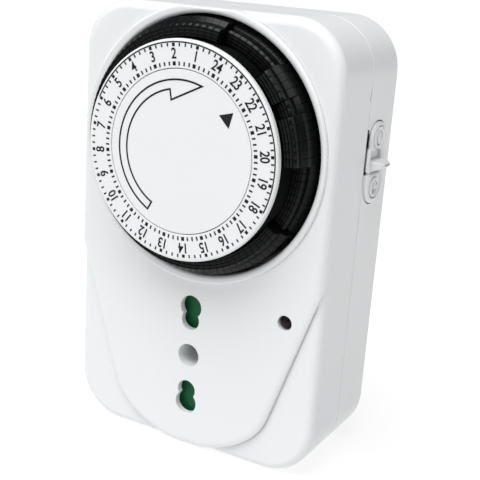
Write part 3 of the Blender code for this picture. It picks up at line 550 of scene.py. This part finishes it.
def add_collar(shell):
    """Collar round the dial, kept within the case's sides, with a fine parting groove at its foot."""
    within, foot_y = COLLAR_RADIUS - MM, FRONT_Y + 0.12 * MM
    groove = [(within, -FAR), (COLLAR_RADIUS + 0.14 * MM, -FAR), (COLLAR_RADIUS + 0.1 * MM, foot_y),
              (within, foot_y)]
    cut(shell, turned("groove", groove, DIAL_STEPS, DIAL_PLACE))
    inner, root_y = OPENING_RADIUS - 1.0 * MM, FRONT_Y + 4 * MM
    profile = soften([((inner, root_y), 0.0), ((inner, COLLAR_Y), 0.0), ((COLLAR_RADIUS, COLLAR_Y), 0.7),
                      ((COLLAR_RADIUS, root_y), 0.0)], 6)
    collar = turned("collar", profile, DIAL_STEPS, DIAL_PLACE)
    margin = 0.05 * MM
    bounds = edge_sections(lambda inset: body_outline(inset + margin), 0.5 * MM, COLLAR_Y, 1, 5)
    combine(collar, loft("collar_bounds", bounds + [(body_outline(margin), HOLLOW_Y)]), "INTERSECT")
    join(shell, collar)


def open_front(shell):
    """Opening for the dial and the holes of the socket and the lamp, with the tube of the earth hole."""
    lip = 0.95 * MM
    mouth = [(OPENING_RADIUS + lip * inward, COLLAR_Y + lip * along) for inward, along in quarter_round(6)]
    profile = [(0.0, -FAR), (OPENING_RADIUS + lip, -FAR)] + mouth
    profile += [(OPENING_RADIUS, HOLLOW_Y), (0.0, HOLLOW_Y)]
    cut(shell, turned("dial_opening", profile, DIAL_STEPS, OPENING_PLACE))
    add_front_posts(shell)
    join(shell, rod("earth_tube", (0.0, SOCKET_Z), 3.9 * MM, INSIDE_Y, -22.9 * MM, 48))
    hole_lip = 0.22 * MM
    cut(shell, round_hole("earth_hole", 0.0, SOCKET_Z, WIDE_HOLE_RADIUS, hole_lip))
    for side, name in ((1, "upper"), (-1, "lower")):
        cut(shell, prism("thinned_" + name, double_hole(side, 1.3 * MM), FRONT_Y + 1.7 * MM, HOLLOW_Y))
        cut(shell, hole_tool("pin_hole_" + name, lambda growth: double_hole(side, growth), hole_lip))
    cut(shell, round_hole("lamp_hole", LENS_X, LENS_Z, LENS_RADIUS + 0.15 * MM, 0.15 * MM))


def add_front_posts(shell):
    """Bored bosses for the housing screws and bored posts for the movement plate's screws."""
    for number, place in enumerate(SCREW_PLACES):
        join(shell, rod(f"boss_{number}", place, 3.0 * MM, INSIDE_Y, FRONT_REAR_Y - 0.3 * MM))
        cut(shell, rod(f"boss_bore_{number}", place, 1.35 * MM, -27 * MM, PAST_SEAM_Y, 24))
    for number, place in enumerate(PLATE_SCREW_PLACES):
        join(shell, rod(f"post_{number}", place, 2.6 * MM, INSIDE_Y, -21.8 * MM))
        cut(shell, rod(f"post_bore_{number}", place, 1.1 * MM, -28 * MM, PAST_SEAM_Y, 24))


def make_front_case():
    front = edge_sections(body_outline, FRONT_ROUND, FRONT_Y, 1, 8)
    seam = edge_sections(body_outline, SEAM_ROUND, FRONT_REAR_Y, -1, 3)
    shell = loft("case_front", front + seam[::-1])
    recess_lower_corners(shell)
    add_collar(shell)
    cut(shell, prism("hollow", body_outline(WALL), FRONT_Y + FRONT_WALL, PAST_SEAM_Y))
    open_front(shell)
    edge_y = FRONT_REAR_Y + 0.2 * MM
    notch = [(edge_y, 36.9 * MM), (edge_y, 40.3 * MM), (FRONT_REAR_Y - 0.45 * MM, 39.9 * MM),
             (FRONT_REAR_Y - 0.9 * MM, 37.2 * MM)]
    cut(shell, prism("pry_notch", notch, 34.45 * MM, 37 * MM, "X"))
    finish_piece(shell, "case", "case_white", "front_housing")


def seam_opening(name, low_z, high_z, reach, low_x, high_x):
    """Tool that opens the side wall behind the seam, ahead of the switch."""
    ahead = 2 * MM
    middle = (REAR_FRONT_Y + (reach - ahead) / 2, (low_z + high_z) / 2)
    outline = rounded_rectangle(reach + ahead, high_z - low_z, 0.1 * MM, 2, middle)
    return prism(name, outline, low_x, high_x, "X")


def switch_outline(margin):
    width = SWITCH_WIDTH + 2 * margin
    bend = width / 2 - 0.005 * MM
    return rounded_rectangle(width, SWITCH_HEIGHT + 2 * margin, bend, 20, (SWITCH_Y, SWITCH_Z))


def make_rear_case():
    rear = edge_sections(body_outline, REAR_ROUND, 0.0, -1, 5)
    seam = edge_sections(body_outline, SEAM_ROUND, REAR_FRONT_Y, 1, 3)
    shell = loft("case_rear", rear + seam[::-1])
    cut(shell, prism("hollow", body_outline(WALL), HOLLOW_Y, -REAR_WALL))
    well = 2.8 * MM
    for number, place in enumerate(SCREW_PLACES):
        join(shell, rod(f"boss_{number}", place, 3.8 * MM, REAR_FRONT_Y, -REAR_WALL / 2))
        cut(shell, rod(f"bore_{number}", place, 1.5 * MM, HOLLOW_Y, 2 * MM, 24))
        widening = ((0.0, -4.0), (0.0, -0.3), (0.08, -0.1), (0.3, 0.05))
        recess = [(circle(well + growth * MM, 40, place), y * MM) for growth, y in widening]
        cut(shell, loft(f"head_bore_{number}", recess))
    for pin in ("pin_live", "pin_earth", "pin_neutral"):
        low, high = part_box(pin)
        place = (0.0, (low.z + high.z) / 2)
        join(shell, rod("pin_boss", place, 4.4 * MM, -6.2 * MM, -REAR_WALL / 2, 40))
        cut(shell, rod("pin_bore", place, 2.6 * MM, -8 * MM, 2 * MM, 40))
    cut(shell, prism("switch_notch", switch_outline(0.35 * MM), SIDE_LOW_X, SIDE_HIGH_X, "X"))
    for low_z, high_z, reach in SWITCH_SLOTS:
        cut(shell, seam_opening("slot", low_z, high_z, reach, SIDE_LOW_X, SIDE_HIGH_X))
        cut(shell, seam_opening("slot_room", low_z, high_z, 2.2 * MM, SIDE_LOW_X, SLOT_SKIN_X))
    finish_piece(shell, "case", "case_white", "rear_housing")


def make_seam_lip():
    """Rim inside the seam that keys the two shells together; it shows only as the seam's floor."""
    outer, inner = body_outline(WALL * 0.45), body_outline(WALL * 0.95)
    low, high = FRONT_REAR_Y - 1.2 * MM, REAR_FRONT_Y + 1.2 * MM
    mesh = bmesh.new()
    wrap(mesh, [[mesh.verts.new((x, depth, z)) for x, z in outline]
                for outline, depth in ((inner, low), (outer, low), (outer, high), (inner, high))])
    lip = add_piece("seam_lip", mesh)
    cut(lip, prism("switch_gap", switch_outline(0.4 * MM), SIDE_LOW_X, SIDE_HIGH_X, "X"))
    for low_z, high_z, _ in SWITCH_SLOTS:
        gap = rounded_rectangle(4 * MM, high_z - low_z, 0.1 * MM, 2, (FRONT_REAR_Y, (low_z + high_z) / 2))
        cut(lip, prism("slot_gap", gap, SIDE_LOW_X, SIDE_HIGH_X, "X"))
    finish_piece(lip, "case", "case_white")


def make_screws():
    """Pan heads with a crossed recess, at the bottom of their wells in the rear shell."""
    corners = ((-1, -1), (1, -1), (1, 1), (-1, 1))
    for number, (x, z) in enumerate(SCREW_PLACES, start=1):
        low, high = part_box(f"housing_screw_{number}")
        head_y, head_radius = high.y, (high.x - low.x) / 2
        shank, seat_y = 1.2 * MM, head_y - 1.6 * MM
        profile = soften([((0.0, low.y), 0.0), ((0.9 * MM, low.y + 0.4 * MM), 0.2),
                          ((shank, low.y + 1.2 * MM), 0.2), ((shank, seat_y), 0.0),
                          ((head_radius, seat_y), 0.1), ((head_radius, head_y - 0.7 * MM), 0.2),
                          ((head_radius * 0.6, head_y - 0.05 * MM), 0.4), ((0.0, head_y), 0.0)], 4)
        screw = turned(f"case_screw_{number}", profile, 48, (x, 0.0, z))
        twist = Matrix.Rotation(radians(20 + 35 * number), 4, "Y")
        for turn in (0.0, pi / 2):
            arm = loft("recess", [([(a * width * MM, b * length * MM) for a, b in corners], y * MM)
                                  for width, length, y in ((0.2, 0.6, -1.3), (0.3, 1.3, 1.0))])
            arm.data.transform(Matrix.Translation((x, head_y, z)) @ twist @ Matrix.Rotation(turn, 4, "Y"))
            cut(screw, arm)
        finish_piece(screw, "case", "plated_steel", f"housing_screw_{number}")


# Dial

def dial_angle(hour):
    """Angle of an hour mark about the dial's axis, from +X towards +Z."""
    return pi / 2 - HOUR_24_ANGLE + hour * HOUR_ANGLE


def on_dial(radius, angle, y):
    return Vector((radius * cos(angle), y, DIAL_Z + radius * sin(angle)))


def make_number_ring():
    inner = DISC_RADIUS + 0.2 * MM
    rear_y = RING_HIGH.y
    profile = soften([((inner, FACE_Y), 0.14), ((RING_RADIUS, FACE_Y), 0.7),
                      ((RING_RADIUS, rear_y), 0.12), ((inner, rear_y), 0.1)], 7)
    finish_piece(turned("number_ring", profile, 192, DIAL_PLACE), "dial", "dial_white", "dial_face")


def make_disc():
    rear_y = DISC_HIGH.y
    profile = soften([((0.0, FACE_Y), 0.0), ((DISC_RADIUS, FACE_Y), 0.16),
                      ((DISC_RADIUS, rear_y), 0.1), ((0.0, rear_y), 0.0)], 5)
    finish_piece(turned("fixed_disc", profile, 192, DIAL_PLACE), "case", "dial_white", "centre_disc")


def drum_teeth():
    """Outline of the drum's gear, one tooth pointing at the transfer gear below and to the left."""
    teeth, module = 40, 0.8 * MM
    root, crest = (teeth / 2 - 1.1) * module, (teeth / 2 + 0.75) * module
    first_tooth = atan2(-16.0, -12.0)
    outline = []
    for tooth in range(teeth):
        for radius, share in ((root, -0.6), (crest, -0.2), (crest, 0.2), (root, 0.6)):
            angle = first_tooth + (tooth * 2 + share) * pi / teeth
            outline.append((radius * cos(angle), radius * sin(angle)))
    return outline


def make_drum():
    """Drum behind the number ring, its wall finely ribbed round and round."""
    bore, hub, flange = 3.2 * MM, 5.5 * MM, 28.8 * MM
    wall, root, inner = DRUM_RADIUS, DRUM_RADIUS - 0.2 * MM, DRUM_RADIUS - 1.5 * MM
    front_y = RING_HIGH.y + 0.3 * MM
    web_y = front_y + 1.2 * MM
    rib_count, rib_pitch = 16, 0.62 * MM
    ribs = []
    for rib in range(rib_count):
        y = front_y + 0.3 * MM + rib * rib_pitch
        ribs += [(wall, y), (wall, y + 0.34 * MM), (root, y + 0.4 * MM), (root, y + 0.56 * MM)]
    gear_y = DRUM_HIGH.y
    flange_y = gear_y - 2.0 * MM
    flange_front_y = flange_y - 1.2 * MM
    profile = [(bore, front_y), (wall - 0.3 * MM, front_y)] + ribs
    profile += [(wall, front_y + 0.4 * MM + rib_count * rib_pitch), (wall, flange_front_y),
                (flange, flange_front_y), (flange, flange_y), (inner, flange_y), (inner, web_y), (hub, web_y),
                (hub, gear_y), (bore, gear_y)]
    drum = turned("drum", profile, 144, DIAL_PLACE)
    gear = prism("teeth", drum_teeth(), flange_y - 0.2 * MM, gear_y, place=DIAL_PLACE)
    room = 4.0 * MM
    cut(gear, turned("bore", [(0.0, -FAR), (room, -FAR), (room, FAR), (0.0, FAR)], 48, DIAL_PLACE))
    join(drum, gear)
    finish_piece(drum, "dial", "black_plastic", "dial_drum")


def tappet_profile():
    """Cross-section of one tappet: ribbed flat top, step, sloping rim and hollowed back."""
    top, rib_count, rib_pitch, rib_width, rib_depth = 3.9, 3, 0.8, 0.56, 0.3
    foot, hollow = -8.5, -3.5
    inner, outer = TAPPET_BORE / MM, TAPPET_RADIUS / MM
    corners = []
    for rib in range(rib_count):
        start = inner + rib * rib_pitch
        end = start + rib_width
        corners += [((start, top), 0.1), ((end, top), 0.1), ((end + 0.04, top - rib_depth), 0.03),
                    ((start + rib_pitch - 0.04, top - rib_depth), 0.03)]
    corners += [((28.3, top), 0.04), ((28.45, top), 0.04), ((28.95, 3.4), 0.06), ((29.05, 1.75), 0.06),
                ((29.35, 1.7), 0.05), ((outer, 0.65), 0.06), ((outer, foot), 0.1),
                ((29.3, foot), 0.1), ((29.3, hollow), 0.1), ((inner, hollow), 0.1)]
    return soften([((radius * MM, FRONT_Y - height * MM), size) for (radius, height), size in corners], 2)


def make_tappets():
    """96 separate tappets, four to the hour, each with its edges broken."""
    profile = tappet_profile()
    middle = Vector((28.5 * MM, sum(depth for _, depth in profile) / len(profile)))
    gap, chamfer, end_size = radians(0.2), radians(0.12), 0.985
    shrunk = [tuple(middle + (Vector(point) - middle) * end_size) for point in profile]
    for number, (first_hour, last_hour, offset) in enumerate(TAPPET_GROUPS, start=1):
        mesh = bmesh.new()
        for index in range(round((last_hour - first_hour) * TAPPETS_PER_HOUR)):
            start = dial_angle(first_hour + index / TAPPETS_PER_HOUR) + TAPPET_PHASE + gap / 2
            end = dial_angle(first_hour + (index + 1) / TAPPETS_PER_HOUR) + TAPPET_PHASE - gap / 2
            stations = [(start, shrunk), (start + chamfer, profile), ((start + end) / 2, profile),
                        (end - chamfer, profile), (end, shrunk)]
            skin(mesh, [[on_dial(radius, angle, depth + offset * MM) for radius, depth in section]
                        for angle, section in stations])
        name = f"tappets_{number:02d}"
        tappets = add_piece(f"tappet_set_{number:02d}", mesh)
        finish_piece(tappets, name, "black_plastic", name, 25.0)


def print_shape(mesh, points):
    """Thin closed slab of ink with the outline of the (x, z) points, measured from the dial's centre."""
    skin(mesh, [[Vector((x, y, DIAL_Z + z)) for x, z in points] for y in (PRINT_Y, PRINT_REAR_Y)])


def straight_mark(mesh, inner, outer, angle, width, rounding=0.0):
    """Radial bar of even width."""
    along = Vector((cos(angle), sin(angle)))
    across = Vector((-along.y, along.x)) * width / 2
    corners = (along * inner - across, along * outer - across, along * outer + across, along * inner + across)
    print_shape(mesh, soften([(tuple(corner), rounding) for corner in corners], 3))


def add_number(mesh, value, radius, height):
    """Hour number standing outward on the ring, as thin closed letters."""
    capital_share, narrow, thickness = 0.72, 0.84, 0.03 * MM
    text = bpy.data.curves.new("number", "FONT")
    text.body = str(value)
    text.size = height / capital_share
    text.align_x = text.align_y = "CENTER"
    text.extrude = thickness
    text.offset = 0.06 * MM
    text.resolution_u = 5
    text.space_character = 0.93
    holder = bpy.data.objects.new("number", text)
    bpy.context.collection.objects.link(holder)
    graph = bpy.context.evaluated_depsgraph_get()
    letters = bpy.data.meshes.new_from_object(holder.evaluated_get(graph))
    bpy.data.objects.remove(holder, do_unlink=True)
    angle = dial_angle(value)
    up = Vector((cos(angle), 0.0, sin(angle)))
    right = Vector((sin(angle), 0.0, -cos(angle)))
    turn = Matrix((right * narrow, up, Vector((0.0, -1.0, 0.0)))).transposed().to_4x4()
    letters.transform(Matrix.Translation(on_dial(radius, angle, PRINT_Y + thickness)) @ turn)
    mesh.from_mesh(letters)
    bpy.data.meshes.remove(letters)


def make_ring_print():
    """Two rows of quarter-hour marks, the hours between them and the rim line of the night hours."""
    mesh = bmesh.new()
    for quarter in range(24 * TAPPETS_PER_HOUR):
        angle = dial_angle(quarter / TAPPETS_PER_HOUR)
        on_hour = quarter % TAPPETS_PER_HOUR == 0
        inner_width, outer_width, rounding = (0.8, 0.72, 0.1) if on_hour else (0.38, 0.36, 0.0)
        straight_mark(mesh, 19.72 * MM, 20.62 * MM, angle, inner_width * MM, rounding)
        straight_mark(mesh, 23.95 * MM, 24.72 * MM, angle, outer_width * MM)
    start, end, steps = dial_angle(-6), dial_angle(6), 90
    print_shape(mesh, arc(25.1 * MM, start, end, steps) + arc(24.8 * MM, end, start, steps))
    for hour in range(1, 25):
        add_number(mesh, hour, 22.3 * MM, 2.42 * MM)
    finish_piece(add_piece("ring_print", mesh, weld=True), "dial", "black_plastic", surface="ink")


def stroked(mesh, points, width):
    """Closed line of even width through the points, as a thin slab with an outer and an inner wall."""
    edges = [[], []]
    for index, point in enumerate(points):
        here = Vector(point)
        before = (here - Vector(points[index - 1])).normalized()
        after = (Vector(points[(index + 1) % len(points)]) - here).normalized()
        normal_before = Vector((-before.y, before.x))
        normal_after = Vector((-after.y, after.x))
        mitre = (normal_before + normal_after).normalized()
        stretch = 1.0 / max(mitre.dot(normal_before), 0.35)
        for edge, side in zip(edges, (-1, 1)):
            edge.append(here + side * mitre * width / 2 * stretch)
    outer, inner = edges
    walls = ((outer, PRINT_Y), (inner, PRINT_Y), (inner, PRINT_REAR_Y), (outer, PRINT_REAR_Y))
    wrap(mesh, [[mesh.verts.new((point.x, y, DIAL_Z + point.y)) for point in edge] for edge, y in walls])


def make_disc_print():
    """Turning-direction arrow and the fixed time pointer."""
    mesh = bmesh.new()
    outer_radius, inner_radius = 16.65 * MM, 14.55 * MM
    tail, tip, shaft_end = radians(241.8), radians(71.7), radians(102.5)
    barb = (-2.69 * MM, 11.85 * MM)
    outline = arc(outer_radius, tail, tip, 64) + [barb] + arc(inner_radius, shaft_end, tail, 56)
    stroked(mesh, outline, 0.42 * MM)
    pointer = ((10.1, 10.1), (13.68, 11.08), (12.74, 7.38))
    print_shape(mesh, soften([((x * MM, z * MM), 0.15) for x, z in pointer], 3))
    finish_piece(add_piece("disc_print", mesh), "case", "black_plastic", surface="ink")


# Override switch

def add_emblems(surround, face_x):
    """The marks for always on and for timed, each raised in a shallow round well of its own."""
    stroke, raised = 0.65 * MM, 0.42 * MM
    middle = SWITCH_Y + 0.2 * MM
    on_z, timed_z = SWITCH_Z + 6.1 * MM, SWITCH_Z - 6.1 * MM
    floor_x, top_x = face_x - 0.35 * MM, face_x + raised
    for name, z, radius in (("on", on_z, 2.7 * MM), ("timed", timed_z, 2.4 * MM)):
        well = [(0.0, floor_x), (radius + 0.35 * MM, floor_x), (radius + 0.45 * MM, face_x + MM),
                (0.0, face_x + MM)]
        cut(surround, turned("well_" + name, well, 56, (0.0, middle, z), "X"))
        root_x = floor_x - 0.1 * MM
        profile = soften([((radius - stroke, root_x), 0.0), ((radius, root_x), 0.0),
                          ((radius, top_x), 0.2), ((radius - stroke, top_x), 0.2)], 3)
        join(surround, turned("emblem_" + name, profile, 56, (0.0, middle, z), "X"))
    # Name, nearest and farthest y, lowest and highest z, and how far it stays below the rest
    bars = (("bar", on_z, -0.42, 0.42, -1.4, 1.4, 0.0), ("tall_hand", timed_z, -0.35, 0.35, -0.4, 1.4, 0.0),
            ("short_hand", timed_z, -0.3, 1.3, -0.35, 0.3, 0.02))
    for name, z, low_y, high_y, low_z, high_z, drop in bars:
        corners = ((low_y, low_z), (high_y, low_z), (high_y, high_z), (low_y, high_z))
        outline = soften([((middle + y * MM, z + up * MM), 0.12) for y, up in corners], 3)
        join(surround, prism(name, outline, face_x - 0.45 * MM, top_x - drop * MM, "X"))


def make_switch_surround():
    face_x = SWITCH_X - 0.4 * MM
    flange_x = SWITCH_X - 0.55 * MM
    past_face_x = SWITCH_X + 0.05 * MM
    surround = cushioned("surround", lambda inset: switch_outline(-inset), SURROUND_LOW.x, SWITCH_X,
                         0.1 * MM, 0.5 * MM, "X")
    dish = [(switch_outline(-1.4 * MM), face_x), (switch_outline(-1.0 * MM), past_face_x)]
    cut(surround, loft("dish", dish, "X"))
    centre = (SWITCH_Y, (WINDOW_LOW + WINDOW_HIGH) / 2)
    height = WINDOW_HIGH - WINDOW_LOW
    window = rounded_rectangle(7.2 * MM, height, 0.5 * MM, 5, centre)
    mouth = rounded_rectangle(7.7 * MM, height + 0.5 * MM, 0.7 * MM, 5, centre)
    cut(surround, loft("window", [(window, SIDE_LOW_X), (window, face_x - 0.25 * MM),
                                  (mouth, face_x + 0.02 * MM), (mouth, SIDE_HIGH_X)], "X"))
    room = rounded_rectangle(7.7 * MM, height + 2 * SLIDER_TRAVEL + 0.4 * MM, 0.3 * MM, 3, centre)
    cut(surround, prism("pad_room", room, SIDE_LOW_X, PAD_X + 0.1 * MM, "X"))
    for low_z, high_z, reach in SWITCH_SLOTS:
        cut(surround, seam_opening("undercut", low_z, high_z, 1.6 * MM, SIDE_LOW_X, flange_x))
        cut(surround, seam_opening("slot", low_z, high_z, reach, SIDE_LOW_X, SIDE_HIGH_X))
    add_emblems(surround, face_x)
    finish_piece(surround, "case", "case_white", "switch_surround")


def make_slot_shade():
    """Painted shade: a black piece inside the case, put where the slots beside the switch show only shade,
    higher behind the wide ones.
    """
    outline = rounded_rectangle(1.5 * MM, 10.4 * MM, 0.2 * MM, 3, (REAR_FRONT_Y + 0.8 * MM, 24.9 * MM))
    shade = prism("painted_shade_in_slots", outline, 33.1 * MM, SLOT_SKIN_X - 0.05 * MM, "X")
    low_z, high_z, _ = NARROW_SLOT
    cut(shade, seam_opening("narrow_part", low_z, high_z, 2.2 * MM, 34.3 * MM, SIDE_HIGH_X))
    finish_piece(shade, "case", "black_plastic")


def make_slider():
    """Carriage, the pad that fills the window from behind, and the wedge-shaped grip in front of it."""
    low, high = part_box("override_slider")
    width, height, centre = 10 * MM, 12 * MM, (SWITCH_Y, 20.5 * MM)

    def outline_at(inset):
        return rounded_rectangle(width - 2 * inset, height - 2 * inset, 0.6 * MM, 3, centre)

    carriage = cushioned("slider", outline_at, low.x, low.x + 1.4 * MM, 0.15 * MM, 0.15 * MM, "X")
    pad_low, pad_high = WINDOW_LOW - SLIDER_TRAVEL - 0.1 * MM, WINDOW_HIGH + 0.1 * MM
    pad = rounded_rectangle(7.3 * MM, pad_high - pad_low, 0.2 * MM, 3, (SWITCH_Y, (pad_low + pad_high) / 2))
    join(carriage, prism("pad", pad, low.x + MM, PAD_X, "X"))

    # Half width, margins at the lower and upper side, bend, shift to the rear, all in millimetres, and x
    grip_low, grip_high = 20.15, 22.5
    stations = [(3.15, 0.0, 0.0, 0.4, 0.0, low.x + 0.8 * MM), (3.15, 0.0, 0.0, 0.4, 0.0, 35.6 * MM),
                (3.05, 0.13, 0.03, 0.45, 0.0, 36.3 * MM), (2.75, 0.5, 0.13, 0.5, 0.0, 37.3 * MM),
                (2.45, 0.8, 0.28, 0.55, 0.1, 37.95 * MM), (2.1, 1.0, 0.5, 0.5, 0.1, 38.22 * MM),
                (1.6, 1.25, 0.75, 0.3, 0.1, high.x)]
    grip = []
    for half_width, margin_low, margin_high, bend, shift, x in stations:
        z_low, z_high = (grip_low + margin_low) * MM, (grip_high - margin_high) * MM
        place = (SWITCH_Y + shift * MM, (z_low + z_high) / 2)
        grip.append((rounded_rectangle(2 * half_width * MM, z_high - z_low, bend * MM, 5, place), x))
    join(carriage, loft("grip", grip, "X"))
    finish_piece(carriage, "override", "case_white", "override_slider", 40.0)


# Socket, lamp and plug

def make_shutter():
    """Turning shutter: a hub round the earth tube with a wing behind each pair of pin holes."""
    half_angle = radians(22.0)
    wing, hub = 17.2 * MM, 6.2 * MM

    def outline_at(inset):
        points = []
        for middle in (pi / 2, 3 * pi / 2):
            narrower = half_angle - inset / wing
            points += arc(wing - inset, middle - narrower, middle + narrower, 20)
            points += arc(hub - inset, middle + narrower, middle + pi - narrower, 20)
        return [(x, SOCKET_Z + z) for x, z in points]

    shutter = cushioned("turning_shutter", outline_at, SHUTTER_LOW.y, SHUTTER_HIGH.y, 0.2 * MM, 0.1 * MM)
    cut(shutter, rod("bore", (0.0, SOCKET_Z), 4.1 * MM, -32 * MM, -26 * MM, 56))
    finish_piece(shutter, "shutter", "shutter_green", "socket_shutter")


def make_lens():
    dome_height = LENS_RADIUS * 0.8
    dome = [(LENS_RADIUS * (1 - inward), LENS_LOW.y + dome_height * along)
            for inward, along in quarter_round(8)]
    flange_radius, flange_y = 2.3 * MM, LENS_HIGH.y - MM
    flange = soften([((LENS_RADIUS, flange_y), 0.1), ((flange_radius, flange_y), 0.15),
                     ((flange_radius, LENS_HIGH.y), 0.15), ((0.0, LENS_HIGH.y), 0.0)], 3)
    lens = turned("lamp_window", dome + flange, 48, (LENS_X, 0.0, LENS_Z))
    finish_piece(lens, "case", "lamp_tint", "lamp_lens")


def make_plug():
    """Plug pins with turned, rounded ends; the live and neutral pins wear half-length sleeves."""
    radius, root, collar = 2.5 * MM, 1.5 * MM, 3.8 * MM
    collar_low, collar_high, sleeve_end = -8.0 * MM, -6.5 * MM, 9.5 * MM
    for name in ("live", "earth", "neutral"):
        low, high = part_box("pin_" + name)
        place = (0.0, 0.0, (low.z + high.z) / 2)
        sleeved = name != "earth"
        neck = radius - (0.5 if sleeved else 0.001) * MM
        tip = high.y
        corners = [((0.0, low.y), 0.0), ((root, low.y), 0.2), ((root, collar_low), 0.1),
                   ((collar, collar_low), 0.2), ((collar, collar_high), 0.2), ((neck, collar_high), 0.1),
                   ((neck, sleeve_end), 0.0), ((radius, sleeve_end), 0.08), ((radius, tip - 1.7 * MM), 0.5),
                   ((1.75 * MM, tip - 0.5 * MM), 0.5), ((0.9 * MM, tip), 0.4), ((0.0, tip), 0.0)]
        pin = turned("plug_pin_" + name, soften(corners, 5), 56, place)
        finish_piece(pin, "case", "nickel_brass", "pin_" + name)
        if sleeved:
            sleeve_low, sleeve_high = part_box("sleeve_" + name)
            bore = neck + 0.05 * MM
            profile = soften([((bore, sleeve_low.y), 0.0), ((radius, sleeve_low.y), 0.1),
                              ((radius, sleeve_high.y), 0.12), ((bore, sleeve_high.y), 0.0)], 4)
            sleeve = turned("plug_sleeve_" + name, profile, 56, place)
            finish_piece(sleeve, "case", "black_plastic", "sleeve_" + name)


def dress_inner_parts():
    """Gives every CAD node that stays its detailed finish."""
    slot_of = {subpart["node"]: subpart["material_slot"] for subpart in frame["record"]["subparts"]}
    for name, node in frame["nodes"].items():
        surface = SURFACES.get(slot_of.get(name))
        if surface is None:
            continue
        if not node.material_slots:
            node.data.materials.append(surface)
        for material_slot in node.material_slots:
            material_slot.material = surface


# Stage

def make_stage():
    floor_z = CASE_LOW.z
    floor = loft("floor", [(circle(6.0, 64), floor_z - 0.02), (circle(6.0, 64), floor_z)], "Z")
    pale = Surface("pale_floor")
    pale.colour((0.22, 0.22, 0.22), (0.2, 0.2, 0.2), pale.noise(0.4, 2.0), 0.0, 1.0)
    pale.fix({"Roughness": 0.9, "Emission Color": (1.0, 1.0, 1.0, 1.0), "Emission Strength": 0.8})
    floor.data.materials.append(pale.material)

    world = bpy.data.worlds.new("studio")
    world.use_nodes = True
    background = world.node_tree.nodes["Background"]
    background.inputs["Color"].default_value = (0.97, 0.985, 1.0, 1.0)
    background.inputs["Strength"].default_value = 0.14
    bpy.context.scene.world = world
    bpy.context.scene.view_settings.view_transform = "Standard"


def hang(name, data, place, target):
    """Light at the place, facing the target."""
    lamp = bpy.data.objects.new(name, data)
    bpy.context.collection.objects.link(lamp)
    lamp.location = place
    lamp.rotation_euler = (Vector(target) - lamp.location).to_track_quat("-Z", "Y").to_euler()
    return lamp


def add_sun(name, towards, strength, softness):
    light = bpy.data.lights.new(name, "SUN")
    light.energy = strength
    light.angle = radians(softness)
    hang(name, light, towards, (0.0, 0.0, 0.0))


def add_softbox(name, place, target, size, power, roll=0.0):
    """Rectangular light facing the target, turned by roll about its own axis."""
    light = bpy.data.lights.new(name, "AREA")
    light.shape = "RECTANGLE"
    light.size, light.size_y = size
    light.energy = power
    box = hang(name, light, place, target)
    box.rotation_euler = (box.rotation_euler.to_matrix() @ Matrix.Rotation(roll, 3, "Z")).to_euler()


def make_lights():
    add_sun("overhead", (-0.12, -0.33, 0.935), 3.4, 50)
    add_softbox("front_fill", (-0.35, -0.7, 0.25), (0.0, -0.02, 0.0), (0.5, 0.5), 0.55)
    add_softbox("ring_glint", (0.327, -0.276, 0.433), (0.023, -0.037, 0.042), (0.36, 0.1), 0.45, radians(-69))


def make_camera():
    """Camera at eye level to the right of the case, looking slightly down at it."""
    camera = bpy.data.cameras.new("camera")
    camera.lens = 72.73
    camera.sensor_width = 36.0
    holder = bpy.data.objects.new("camera", camera)
    bpy.context.collection.objects.link(holder)
    right = Vector((0.8651, 0.4969, 0.0684)).normalized()
    forward = Vector((-0.4605, 0.8408, -0.2847)).normalized()
    up = right.cross(forward).normalized()
    right = forward.cross(up)
    turn = Matrix((right, up, -forward)).transposed().to_4x4()
    holder.matrix_world = Matrix.Translation((0.118127, -0.225317, 0.068069)) @ turn
    bpy.context.scene.camera = holder


def main():
    make_surfaces()
    make_camera()
    make_lights()
    make_stage()
    make_front_case()
    make_rear_case()
    make_seam_lip()
    make_screws()
    make_number_ring()
    make_disc()
    make_drum()
    make_tappets()
    make_ring_print()
    make_disc_print()
    make_switch_surround()
    make_slot_shade()
    make_slider()
    make_shutter()
    make_lens()
    make_plug()
    dress_inner_parts()


main()
